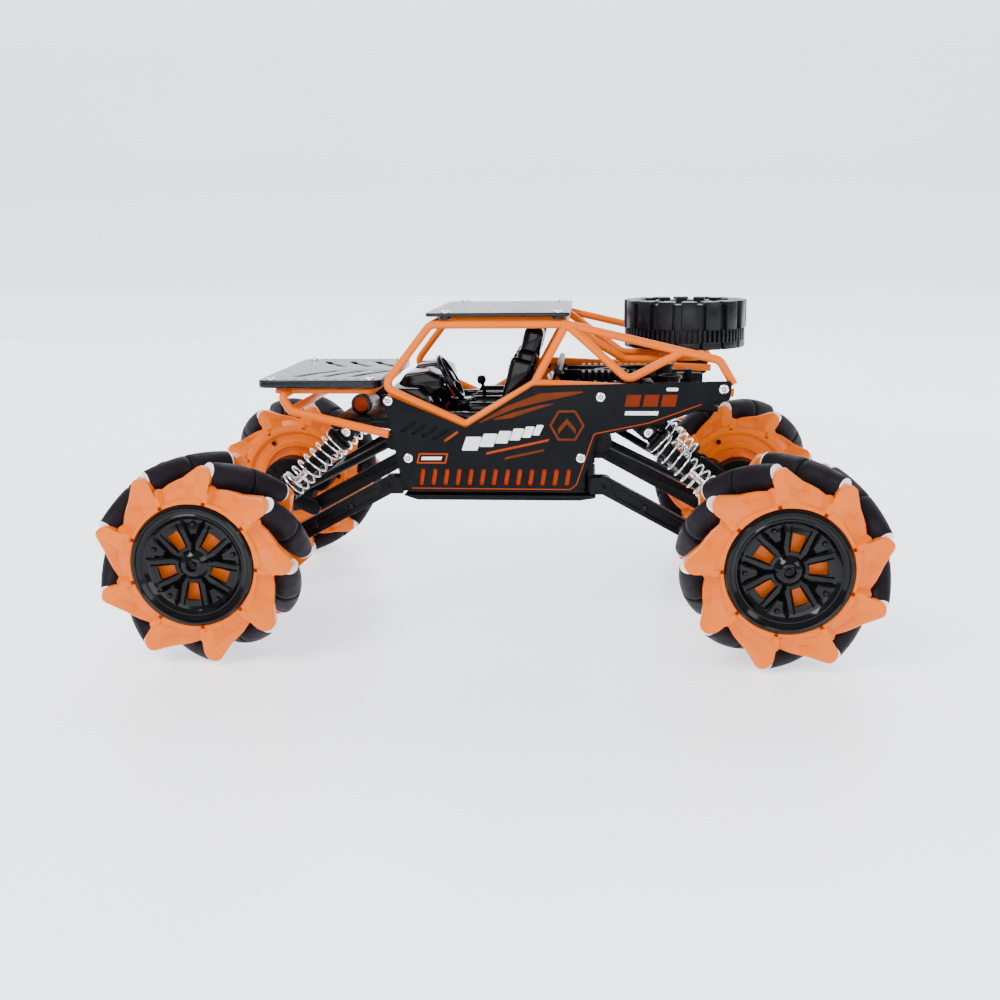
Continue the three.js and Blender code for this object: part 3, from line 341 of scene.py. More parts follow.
class Shape:
    """A mesh in the making, in millimetres. Each call takes the index of the material that it uses."""

    def __init__(self):
        self.bm = bmesh.new()

    def _take(self, faces, m):
        for face in faces:
            face.material_index = m

    def absorb(self, mesh, matrix, m=0):
        """Adds a mesh, welded and moved into place first."""
        part = bmesh.new()
        part.from_mesh(mesh)
        bmesh.ops.transform(part, matrix=matrix, verts=part.verts)
        bmesh.ops.remove_doubles(part, verts=part.verts, dist=0.002)
        self._take(part.faces, m)
        part.to_mesh(mesh)
        part.free()
        self.bm.from_mesh(mesh)
        bpy.data.meshes.remove(mesh)

    def _ring(self, centre, side, other, radius, segments):
        """A circle of vertices in the plane of two directions."""
        ring = []
        for k in range(segments):
            angle = 2 * math.pi * k / segments
            offset = side * math.cos(angle) + other * math.sin(angle)
            ring.append(self.bm.verts.new(centre + offset * radius))
        return ring

    def lathe(self, profile, origin, axis, segments=32, m=0, closed=False):
        """Turns a profile of (radius, distance along the axis) about an axis."""
        axis = Vector(axis).normalized()
        side = axis.orthogonal().normalized()
        other = axis.cross(side)
        origin = Vector(origin)
        rings = []
        for radius, along in profile:
            centre = origin + axis * along
            if radius < 1e-6:
                rings.append([self.bm.verts.new(centre)])
                continue
            rings.append(self._ring(centre, side, other, radius, segments))
        pairs = list(zip(rings, rings[1:])) + ([(rings[-1], rings[0])] if closed else [])
        faces = []
        for a, b in pairs:
            for k in range(segments):
                n = (k + 1) % segments
                if len(a) == 1 and len(b) == 1:
                    continue
                if len(a) == 1:
                    faces.append(self.bm.faces.new((a[0], b[n], b[k])))
                elif len(b) == 1:
                    faces.append(self.bm.faces.new((a[k], a[n], b[0])))
                else:
                    faces.append(self.bm.faces.new((a[k], a[n], b[n], b[k])))
        self._take(faces, m)

    def bar(self, a, b, radius, segments=24, chamfer=0.3, m=0):
        a, b = Vector(a), Vector(b)
        length = (b - a).length
        c = min(chamfer, radius * 0.4, length * 0.3)
        profile = [(0, 0), (radius - c, 0), (radius - c * 0.3, c * 0.3), (radius, c)]
        profile += [(radius, length - c), (radius - c * 0.3, length - c * 0.3)]
        profile += [(radius - c, length), (0, length)]
        self.lathe(profile, a, b - a, segments, m)

    def tube(self, points, radius, segments):
        """A round tube through the points, with flat ends."""
        points = [Vector(p) for p in points]
        heading = (points[1] - points[0]).normalized()
        side = heading.orthogonal().normalized()
        rings = []
        last = len(points) - 1
        for i, point in enumerate(points):
            ahead = (points[min(i + 1, last)] - points[max(i - 1, 0)]).normalized()
            side = (side - ahead * side.dot(ahead)).normalized()
            other = ahead.cross(side)
            rings.append(self._ring(point, side, other, radius, segments))
        for a, b in zip(rings, rings[1:]):
            for k in range(segments):
                n = (k + 1) % segments
                self.bm.faces.new((a[k], a[n], b[n], b[k]))
        self.bm.faces.new(list(reversed(rings[0])))
        self.bm.faces.new(rings[-1])

    def box(self, low, high, bevel=0.5, segments=2, m=0, turn=None):
        low, high = Vector(low), Vector(high)
        part = bmesh.new()
        bmesh.ops.create_cube(part, size=1)
        spread = Matrix.Diagonal((*(high - low), 1))
        bmesh.ops.transform(part, matrix=spread, verts=part.verts)
        bmesh.ops.bevel(
            part,
            geom=part.edges[:],
            offset=min(bevel, 0.45 * min(high - low)),
            segments=segments,
            profile=0.5,
            affect="EDGES",
        )
        mesh = bpy.data.meshes.new("box")
        part.to_mesh(mesh)
        part.free()
        matrix = Matrix.Translation((low + high) / 2)
        self.absorb(mesh, matrix @ turn if turn else matrix, m)

    def plate_xz(self, outline, y0, y1, holes, bevel):
        mesh = plate_mesh(outline, holes, abs(y1 - y0), bevel)
        stand = Matrix.Rotation(math.pi / 2, 4, "X")
        self.absorb(mesh, Matrix.Translation((0, (y0 + y1) / 2, 0)) @ stand)

    def plate_xy(self, outline, z0, z1, holes, bevel):
        mesh = plate_mesh(outline, holes, abs(z1 - z0), bevel)
        self.absorb(mesh, Matrix.Translation((0, 0, (z0 + z1) / 2)))

    def mesh(self, name, materials, sharp=32):
        """The finished mesh in metres, smooth except over edges sharper than the given angle."""
        bmesh.ops.recalc_face_normals(self.bm, faces=self.bm.faces)
        limit = math.radians(sharp)
        for edge in self.bm.edges:
            edge.smooth = not (len(edge.link_faces) == 2 and edge.calc_face_angle() > limit)
        for face in self.bm.faces:
            face.smooth = True
        bmesh.ops.scale(self.bm, vec=(MM, MM, MM), verts=self.bm.verts)
        mesh = bpy.data.meshes.new(name)
        self.bm.to_mesh(mesh)
        self.bm.free()
        for material in materials:
            mesh.materials.append(material)
        return mesh

    def piece(self, name, body, materials, stands_for=(), sharp=32):
        """Puts the mesh in the scene as a piece that rides on a body."""
        obj = bpy.data.objects.new(name, self.mesh(name, materials, sharp))
        return place(obj, body, materials[0], stands_for)


def place(obj, body, material, stands_for=()):
    bpy.context.scene.collection.objects.link(obj)
    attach(obj, body)
    if stands_for:
        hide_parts(*stands_for)
    return obj


def lerp(a, b, t):
    return a + (b - a) * t


def rectangle(low, high, inset=0.0):
    """The outline of a box seen from above, drawn in by the inset."""
    x0, y0, x1, y1 = low.x + inset, low.y + inset, high.x - inset, high.y - inset
    return [(x0, y0), (x1, y0), (x1, y1), (x0, y1)]


# ---------- screws, shared by every panel ----------
def screw_mesh(name, radius, height, material):
    """A pan head with a socket and a cross in it, standing on Z = 0. Both take the second material, black
    gloss, which on a chrome head is painted shade in the recess.
    """
    socket = 0.5
    shape = Shape()
    profile = [(0, -0.6), (radius * 0.55, -0.6), (radius * 0.55, 0), (radius, 0), (radius, height * 0.35)]
    profile += [(radius * 0.93, height * 0.75), (radius * 0.74, height), (radius * socket, height)]
    shape.lathe(profile, (0, 0, 0), (0, 0, 1), 32)
    # Painted shade: the socket and its cross in black gloss, darker than the head around them.
    recess = [(radius * socket, height), (radius * (socket - 0.06), height * 0.45), (0, height * 0.4)]
    shape.lathe(recess, (0, 0, 0), (0, 0, 1), 32, m=1)
    arm, half = radius * 0.36, radius * 0.1
    shape.box((-arm, -half, height * 0.3), (arm, half, height * 0.85), 0.05, 1)
    shape.box((-half, -arm, height * 0.3), (half, arm, height * 0.85), 0.05, 1)
    return shape.mesh(name, [material, GLOSS], 40)


PANEL_SCREW = screw_mesh("panel_screw", 2.15, 1.0, CHROME)
SMALL_SCREW = screw_mesh("small_screw", 1.3, 0.8, GLOSS)


def screw(name, at, normal, body, mesh=None):
    """A screw whose head stands on the point, facing along the normal."""
    obj = bpy.data.objects.new(name, mesh or PANEL_SCREW)
    turn = Vector(normal).to_track_quat("Z", "Y").to_matrix().to_4x4()
    spin = Matrix.Rotation(random.uniform(0, math.pi / 2), 4, "Z")
    obj.matrix_world = Matrix.Translation(Vector(at) * MM) @ turn @ spin
    return place(obj, body, CHROME if mesh is None else GLOSS)


# ---------- wheels ----------
def around(x, degrees, radius):
    """A point of a wheel, with the angle clockwise from the top, seen looking along +Y."""
    angle = math.radians(degrees)
    return x + radius * math.sin(angle), AXLE_Z + radius * math.cos(angle)


FINGER_R = 4.3  # round tip of a lug
FINGER_PITCH_R = LUG_R - FINGER_R
FINGER_SHIFT = 2.6  # degrees from the lug's nominal angle towards its steep side
VALLEY_DEPTH = 4.2  # set-back of the valleys from the wheel's face
RIDGE_HALF = 8.5  # degrees either side of a lug's middle that its raised finger covers
RIM_THICKNESS = 4.2  # of a rim half at its lugs
RING_DEPTH = 0.9  # set-back of the ring from which the lugs grow


def lug_outline():
    """One lug as (angle, radius, set-back), from its steep side's foot over the tip and down the slope."""
    points = [(13.4, VALLEY_R - 0.3, VALLEY_DEPTH), (10.6, VALLEY_R + 0.6, VALLEY_DEPTH * 0.7)]
    for i in range(9):
        turn = math.radians(-65 + 22 * i)
        across = FINGER_R * math.cos(turn)
        up = FINGER_R * math.sin(turn)
        angle = FINGER_SHIFT + math.degrees(math.atan2(across, FINGER_PITCH_R + up))
        radius = math.hypot(across, FINGER_PITCH_R + up)
        points.append((angle, radius, 0.35 if 1 <= i <= 7 else 1.2))
    points += [(-9.0, 36.0, 1.5), (-14.0, 35.0, 2.6), (-20.0, 34.0, VALLEY_DEPTH * 0.85)]
    return points


LUG = lug_outline()


def star_face(shape, x, face_y, inward, phase, steep, inner_r):
    """A rim half's lugs: a folded star from the hub ring to the outline, closed at its edge and back."""
    back_y = face_y + inward * (RIM_THICKNESS + VALLEY_DEPTH * 0.5)
    grid = []
    for k in range(LUGS):
        for offset, radius, depth in LUG:
            angle = phase + steep * (offset - k * LUG_STEP)
            raised = abs(offset - FINGER_SHIFT) < RIDGE_HALF
            # Shares of the way from the ring to the outline, and the set-back from the face at each.
            folds = ((0.0, RING_DEPTH), (0.16, RING_DEPTH), (0.24, 0.2 if raised else 2.4),
                     (0.62, 0.05 if raised else 4.0), (0.93, depth), (1.0, depth + 0.5))
            line = []
            for t, set_back in folds:
                px, pz = around(x, angle, lerp(inner_r, radius, t))
                line.append(shape.bm.verts.new((px, face_y + inward * set_back, pz)))
            for r in (radius - 0.4, inner_r):
                px, pz = around(x, angle, r)
                line.append(shape.bm.verts.new((px, back_y, pz)))
            grid.append(line)
    for i, line in enumerate(grid):
        after = grid[(i + 1) % len(grid)]
        for j in range(len(line)):
            n = (j + 1) % len(line)
            shape.bm.faces.new((line[j], after[j], after[n], line[n]))


def rim_outer(label, end, side, first_lug, body):
    x = end * AXLE_X
    face = side * WHEEL_OUT_Y
    inward = -side
    shape = Shape()
    star_face(shape, x, face, inward, first_lug, -end, HUBCAP_R + 0.4)
    well = [(25.4, 1.0), (25.4, 7.4), (10, 7.8), (0, 7.8), (0, 10), (24.6, 10), (24.6, 18.6)]
    shape.lathe(well + [(26.5, 18.6), (26.5, 4.0), (26.2, 2.4), (25.4, 1.0)], (x, face, AXLE_Z),
                (0, inward, 0), 64)
    shape.piece(f"lug_rim_outer_{label}", body, [ORANGE], [f"rim_outer_{label}"], sharp=11)


def rim_inner(label, end, side, first_lug, body):
    x = end * AXLE_X
    face = side * WHEEL_IN_Y
    inward = side
    shape = Shape()
    inner_phase = first_lug - 2 * ROLLER_REACH * end
    star_face(shape, x, face, inward, inner_phase, end, 27.5)
    dish = [(0, 3.2), (5.2, 3.2), (5.6, 0.6), (8.0, 0.2), (8.6, 3.4), (15, 4.6), (17, 4.6), (18, 2.0),
            (20.5, 1.6)]
    dish += [(21.5, 3.6), (24.5, 3.2), (26.2, 1.2), (27.6, 0.9), (27.6, 5), (26.5, 5.5), (26.5, 18.6),
             (24.6, 18.6)]
    dish += [(24.6, 6.6), (0, 6.6)]
    shape.lathe(dish, (x, face, AXLE_Z), (0, inward, 0), 64)
    for k in range(6):
        px, pz = around(x, 60 * k + inner_phase, 12)
        boss = [(1.4, 5), (1.4, 2.2), (1.2, 1.9), (2.9, 1.9), (3.1, 2.2), (3.1, 5)]
        shape.lathe(boss, (px, face, pz), (0, inward, 0), 20, closed=True)
    shape.bar((x, face + inward * 2, AXLE_Z), (x, face - inward * 7.5, AXLE_Z), 2.4, 6, 0.3)
    for k in range(3):
        px, pz = around(x, 120 * k + 30 + inner_phase, 22.8)
        screw(f"rim_screw_{label}_{k + 1}", (px, face + inward * 2.6, pz), (0, -inward, 0), body, SMALL_SCREW)
    shape.piece(f"lug_rim_inner_{label}", body, [ORANGE], [f"rim_inner_{label}"], sharp=11)


WINDOWS = 5


def hubcap(label, end, side, window_phase, body):
    """A gloss disc: a sloping edge, a raised inner ring, windows and a forked rib between each two."""
    x = end * AXLE_X
    out = side * (WHEEL_OUT_Y + 0.5)
    step = 360 / WINDOWS
    shape = Shape()
    origin = (x, out, AXLE_Z)
    back = (0, -side, 0)
    edge = [(25.0, 2.0), (24.9, 0.9), (24.4, 0.3), (23.7, 0.05), (23.1, 0.25), (22.8, 0.7), (21.2, 1.5),
            (20.9, 1.3)]
    edge += [(20.4, 1.3), (20.1, 1.7), (18.9, 2.9), (17.6, 3.3), (17.2, 5.0), (24.0, 5.6), (25.0, 5.4)]
    shape.lathe(edge, origin, back, 80, closed=True)
    windows = []
    for k in range(WINDOWS):
        centre = window_phase + step * k
        corners = [(-14, 8.0), (14, 8.0), (10.6, 15.2), (-10.6, 15.2)]
        loop = [Vector(around(x, centre + da, r)) for da, r in corners]
        windows.append(rounded(loop, 0.6, 3))
    disc = [around(x, a, 18.2) for a in range(0, 360, 5)]
    shape.plate_xz(disc, out - side * 3.3, out - side * 4.9, windows, 0.3)

    def ridge(angle_in, r_in, angle_out, r_out, half, crest_in, crest_out):
        """A long roof-shaped rib from the hub towards the edge."""
        inner = Vector(around(x, angle_in, r_in))
        outer = Vector(around(x, angle_out, r_out))
        across = (outer - inner).orthogonal().normalized()
        foot = out - side * 3.8
        top = [(inner.x, out - side * crest_in, inner.y), (outer.x, out - side * crest_out, outer.y)]
        base = [(q.x + across.x * w, foot, q.y + across.y * w) for q, w in
                ((inner, -half * 0.6), (outer, -half), (outer, half), (inner, half * 0.6))]
        a, b = (shape.bm.verts.new(q) for q in top)
        c, d, e, f = (shape.bm.verts.new(q) for q in base)
        for face in ((a, b, d, c), (a, f, e, b), (a, c, f), (b, e, d), (c, d, e, f)):
            shape.bm.faces.new(face)

    for k in range(WINDOWS):
        middle = window_phase + step * (k + 0.5)
        ridge(middle, 5.2, middle, 12.5, 1.7, 1.2, 1.9)
        for lean in (-1, 1):
            ridge(middle + lean * 3, 9.5, middle + lean * 14, 19.2, 1.5, 1.6, 2.4)
            ridge(middle + lean * 20, 7.4, middle + lean * 23, 17.8, 0.7, 2.6, 2.7)
        px, pz = around(x, middle, 17.0)
        shape.lathe([(0, 2.3), (0.7, 2.4), (1.0, 2.8), (1.0, 4.0), (0, 4.0)], (px, out, pz), back, 14)
    hub = [(0, 2.6), (1.9, 2.6), (2.1, 1.2), (2.5, 0.7), (3.5, 0.9), (4.6, 1.5), (5.6, 2.6), (6.6, 3.6),
           (6.6, 4.6), (0, 4.6)]
    shape.lathe(hub, origin, back, 32)
    shape.piece(f"spoked_hubcap_{label}", body, [GLOSS], [f"hubcap_{label}"], sharp=24)
    screw(f"hub_screw_{label}", (x, out - side * 2.5, AXLE_Z), (0, side, 0), body, SMALL_SCREW)


def roller_shape(matrix):
    """One roller: two rubber barrels with a seam between them, and a thin white cap on each end."""
    shape = Shape()
    rubber_end = 18.75
    cap_end = 19.3

    def barrel(s):
        return ROLLING_R - 0.2 - math.hypot(ROLLER_PITCH_R, s * math.sin(math.pi / 4))

    for direction in (-1, 1):
        profile = [(0, 0.3), (barrel(0.3) - 0.75, 0.3), (barrel(0.5) - 0.3, 0.5)]
        profile += [(barrel(s), s) for s in (0.95, 3, 6, 9, 12, 15, 17, 18.1)]
        profile += [(barrel(18.5) - 0.1, 18.5), (barrel(rubber_end) - 0.35, rubber_end), (0, rubber_end)]
        shape.lathe([(r, direction * s) for r, s in profile], (0, 0, 0), (0, 0, 1), 28)
        rim = barrel(cap_end)
        cap = [(0, 18.6), (rim - 0.3, 18.6), (rim, 18.85), (rim, cap_end - 0.1), (rim - 0.3, cap_end),
               (0, cap_end)]
        shape.lathe([(r, direction * s) for r, s in cap], (0, 0, 0), (0, 0, 1), 28, m=1)
    shape.lathe([(0, -0.4), (5.2, -0.4), (5.2, 0.4), (0, 0.4)], (0, 0, 0), (0, 0, 1), 28)
    bmesh.ops.transform(shape.bm, matrix=matrix, verts=shape.bm.verts)
    return shape


def rollers(label, end, side, first_lug, body):
    x = end * AXLE_X
    lean = -end
    for k in range(LUGS):
        angle = first_lug + lean * ROLLER_REACH + k * LUG_STEP
        px, pz = around(x, angle, ROLLER_PITCH_R)
        turn = math.radians(angle)
        tangent = Vector((math.cos(turn), 0, -math.sin(turn))) * lean
        axis = (tangent + Vector((0, -side, 0))).normalized()
        stand = axis.to_track_quat("Z", "Y").to_matrix().to_4x4()
        roller = roller_shape(Matrix.Translation((px, side * WHEEL_MID_Y, pz)) @ stand)
        stands_for = [f"rollers_{label}"] if k == 0 else ()
        roller.piece(f"roller_{label}_{k + 1}", body, [RUBBER, WHITE], stands_for, sharp=40)
    hub = Shape()
    profile = [(27, -4), (30.0, -4), (30.4, -3.4), (30.4, 3.4), (30.0, 4), (27, 4)]
    hub.lathe(profile, (x, side * WHEEL_MID_Y, AXLE_Z), (0, 1, 0), 54, closed=True)
    hub.piece(f"roller_ring_{label}", body, [BLACK])


for label, end, side, first_lug, window_phase in CORNERS:
    body = f"wheel_{label}"
    rim_outer(label, end, side, first_lug, body)
    rim_inner(label, end, side, first_lug, body)
    hubcap(label, end, side, window_phase, body)
    rollers(label, end, side, first_lug, body)


# ---------- suspension ----------
LOWER_PIVOT, LOWER_END = (47, 64), (102, 34)
UPPER_PIVOT, UPPER_END = (47, 81), (102, 51)
SHOCK_TOP, SHOCK_FOOT = (66, 87.5), (97, 58)
ARM_Y, LINK_PIVOT_Y, LINK_END_Y, SHOCK_Y = 45, 30, 10, 43
EYE_R = 3.8
PIN_R = 1.5
PIN_BORE_R = 1.95
OPEN_BORE_R = 2.3
SEAT_TOP, SEAT_LOW = 6.6, 35.6  # a coil's two ends, along its shock from the top pin


def stadium(a, b, radius, steps=10):
    """The outline of a bar with round ends."""
    a, b = Vector(a), Vector(b)
    start = math.atan2(b.y - a.y, b.x - a.x)
    points = []
    for centre, base in ((b, start - math.pi / 2), (a, start + math.pi / 2)):
        for k in range(steps + 1):
            angle = base + math.pi * k / steps
            points.append(centre + Vector((math.cos(angle), math.sin(angle))) * radius)
    return points


def circle(centre, radius, steps=20):
    turn = 2 * math.pi / steps
    return [(centre[0] + radius * math.cos(k * turn),
             centre[1] + radius * math.sin(k * turn)) for k in range(steps)]


def lower_arm(label, end, side, body):
    """A trailing arm: a boxed bar with lightening pockets and a row of bolts."""
    a = (end * LOWER_PIVOT[0], LOWER_PIVOT[1])
    b = (end * LOWER_END[0], LOWER_END[1])
    y0, y1 = side * (ARM_Y - 2.5), side * (ARM_Y + 2.5)
    shape = Shape()
    bores = [circle(a, PIN_BORE_R), circle(b, PIN_BORE_R)]
    shape.plate_xz(stadium(a, b, EYE_R), y0, y1 - side * 0.9, bores, 0.4)
    pockets = []
    for t0, t1 in ((0.12, 0.29), (0.36, 0.58), (0.66, 0.88)):
        p = Vector(a).lerp(Vector(b), t0)
        q = Vector(a).lerp(Vector(b), t1)
        pockets.append(stadium(p, q, 1.9, 6))
    shape.plate_xz(stadium(a, b, EYE_R), y1 - side * 1.1, y1, bores + pockets, 0.3)
    shape.piece(f"trailing_arm_{label}", body, [BLACK], [f"lower_arm_{label}"])
    for k, t in enumerate((0.33, 0.62)):
        p = Vector(a).lerp(Vector(b), t)
        screw(f"arm_bolt_{label}_{k + 1}", (p.x, y1 - side * 0.1, p.y), (0, side, 0), body, SMALL_SCREW)


def wishbone(label, end, body):
    shape = Shape()
    for side in (-1, 1):
        pivot = Vector((end * UPPER_PIVOT[0], side * LINK_PIVOT_Y, UPPER_PIVOT[1]))
        tip = Vector((end * UPPER_END[0], side * LINK_END_Y, UPPER_END[1]))
        reach = (tip - pivot).normalized() * 3.0
        shape.tube([pivot + reach, pivot.lerp(tip, 0.5), tip - reach], 1.9, 14)
        for eye in (pivot, tip):
            ring = [(PIN_BORE_R, -2), (3.0, -2), (3.4, -1.6), (3.4, 1.6), (3.0, 2), (PIN_BORE_R, 2)]
            shape.lathe(ring, eye, (0, 1, 0), 24, closed=True)
    x = end * lerp(UPPER_PIVOT[0], UPPER_END[0], 0.6)
    y = lerp(LINK_PIVOT_Y, LINK_END_Y, 0.6)
    z = lerp(UPPER_PIVOT[1], UPPER_END[1], 0.6)
    shape.bar((x, -y, z), (x, y, z), 1.6, 14)
    shape.piece(f"wishbone_{label}", body, [BLACK], [f"upper_wishbone_{label}"])


def shock(label, end, side, bodies, rods):
    top = Vector((end * SHOCK_TOP[0], side * SHOCK_Y, SHOCK_TOP[1]))
    foot = Vector((end * SHOCK_FOOT[0], side * SHOCK_Y, SHOCK_FOOT[1]))
    length = (foot - top).length
    axis = (foot - top).normalized()
    # The damper: eye, ribbed cap, spring seat and threaded cylinder.
    damper = Shape()
    ring = [(PIN_BORE_R, -2.4), (3.2, -2.4), (3.8, -2.0), (3.8, 2.0), (3.2, 2.4), (PIN_BORE_R, 2.4)]
    damper.lathe(ring, top, (0, 1, 0), 28, closed=True)
    profile = [(0, 2.6), (3.0, 2.6), (3.6, 3.2), (3.6, 4.4), (5.6, 4.6), (6.1, 5.0), (6.1, 6.2),
               (5.8, SEAT_TOP), (3.8, 6.7)]
    t, thread_end, thread_pitch = 7.2, 23.5, 1.1
    while t < thread_end:
        profile += [(3.4, t), (3.4, t + 0.45), (3.05, t + 0.6), (3.05, t + 0.95)]
        t += thread_pitch
    profile += [(3.5, 24.0), (3.5, 24.9), (3.1, 25.2), (1.9, 25.2), (1.9, 8), (0, 8)]
    damper.lathe(profile, top, axis, 28)
    damper.piece(f"damper_{label}", bodies, [BLACK], [f"shock_body_{label}"])
    # The rod: bright shaft, lower seat and the eye at its foot.
    rod = Shape()
    rod.lathe([(0, 13), (1.35, 13), (1.35, 36), (0, 36)], top, axis, 20)
    seat = [(1.3, 34.6), (3.2, 34.7), (3.6, 35.4), (5.6, SEAT_LOW), (6.1, 36.0), (6.1, 36.8), (5.6, 37.2),
            (3.2, 37.4)]
    rod.lathe(seat + [(2.6, length - 3.2), (0, length - 3.2)], top, axis, 28, m=1)
    ring = [(OPEN_BORE_R, -2.4), (3.8, -2.4), (4.4, -1.9), (4.4, 1.9), (3.8, 2.4), (OPEN_BORE_R, 2.4)]
    rod.lathe(ring, foot, (0, 1, 0), 28, m=1, closed=True)
    rod.piece(f"damper_rod_{label}", rods, [CHROME, BLACK], [f"shock_rod_{label}"])
    # The coil, wound between its two seats.
    coil = Shape()
    turns, end_turns, wire, radius = 9.0, 0.9, 0.46, 5.6
    start, stop = SEAT_TOP + wire, SEAT_LOW - wire
    across = Vector((0, 1, 0))
    third = axis.cross(across)
    points = []
    steps = int(turns * 22)
    for k in range(steps + 1):
        u = k / steps
        ease = min(max((u * turns - end_turns) / (turns - 2 * end_turns), 0), 1)
        angle = 2 * math.pi * turns * u
        centre = top + axis * lerp(start, stop, 0.02 * u + 0.98 * ease)
        points.append(centre + (across * math.cos(angle) + third * math.sin(angle)) * radius)
    coil.tube(points, wire, 8)
    coil_obj = bpy.data.objects.new(f"coil_{label}", coil.mesh(f"coil_{label}", [CHROME], 60))
    bpy.context.scene.collection.objects.link(coil_obj)
    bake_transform(coil_obj)
    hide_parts(f"spring_{label}")


def axle(label, end, body):
    """The axle: a ribbed beam and central case, with the brackets that carry the arms and shocks."""
    x = end * AXLE_X
    shape = Shape()

    def pin(point, y0, y1):
        shape.bar((end * point[0], y0, point[1]), (end * point[0], y1, point[1]), PIN_R, 18)

    profile = [(0, -52), (6.0, -52), (6.5, -51.4)]
    for y in range(-44, 45, 8):
        if abs(y) < 16:
            continue
        profile += [(5.7, y - 2.2), (5.7, y - 0.8), (6.5, y - 0.6), (6.5, y + 0.6), (5.7, y + 0.8)]
    profile += [(5.7, 46), (6.5, 51.4), (6.0, 52), (0, 52)]
    shape.lathe(profile, (x, 0, AXLE_Z), (0, 1, 0), 32)
    case = [(0, -15), (9, -15), (12, -13.6), (13, -11), (13, -1.4), (13.0, -0.5), (12.4, -0.3), (12.4, 0.3)]
    case += [(13.0, 0.5), (13, 11), (12, 13.6), (9, 15), (0, 15)]
    shape.lathe(case, (x, 0, AXLE_Z), (0, 1, 0), 36)
    nose = stadium((end * 112, 48), (end * UPPER_END[0], UPPER_END[1]), 3.8)
    shape.plate_xz(nose, -6, 6, (), 0.6)
    pin(UPPER_END, -14, 14)
    for side in (-1, 1):
        y0, y1 = side * 36.2, side * 39.2
        for point in (LOWER_END, SHOCK_FOOT):
            at = (end * point[0], point[1])
            shape.plate_xz(stadium((x, AXLE_Z), at, 3.7), y0, y1, (), 0.4)
        pin(LOWER_END, side * 38, side * 48.4)
        pin(SHOCK_FOOT, side * 38, side * 46.8)
        name = "left" if side < 0 else "right"
        at = (end * SHOCK_FOOT[0], side * 46.4, SHOCK_FOOT[1])
        screw(f"shock_foot_bolt_{label}_{name}", at, (0, side, 0), body)
    shape.piece(f"solid_axle_{label}", body, [BLACK], [f"axle_housing_{label}"])


def wheel_motor(label, end, side, body):
    x = end * AXLE_X
    shape = Shape()
    case = [(0, 52.3), (13.2, 52.3), (14.3, 53.4), (14.5, 54.6), (14.5, 58.4), (14.0, 58.8), (14.0, 59.4),
            (14.5, 59.8)]
    case += [(14.5, 64.4), (13.6, 65.8), (11, 66), (10.4, 65.2), (7.4, 65.2), (6.2, 66), (6.0, 69.2),
             (3.1, 69.3), (3.1, 60), (0, 60)]
    shape.lathe(case, (x, 0, AXLE_Z), (0, side, 0), 40)
    cx = x - end * 15
    can = [(0, 52.3), (7.6, 52.3), (8.5, 53.2), (8.5, 55), (8.2, 55.2), (8.2, 63.6), (8.5, 63.8), (8.5, 66),
           (7.4, 67), (0, 67)]
    shape.lathe(can, (cx, 0, AXLE_Z + 5), (0, side, 0), 32)
    for k in range(4):
        angle = math.radians(45 + 90 * k)
        px, pz = x + 11.8 * math.cos(angle), AXLE_Z + 11.8 * math.sin(angle)
        shape.lathe([(0, 51.9), (1.5, 51.9), (2.0, 52.4), (2.0, 60), (0, 60)], (px, 0, pz), (0, side, 0), 14)
    shape.piece(f"gearmotor_{label}", body, [BLACK], [f"wheel_motor_{label}"])


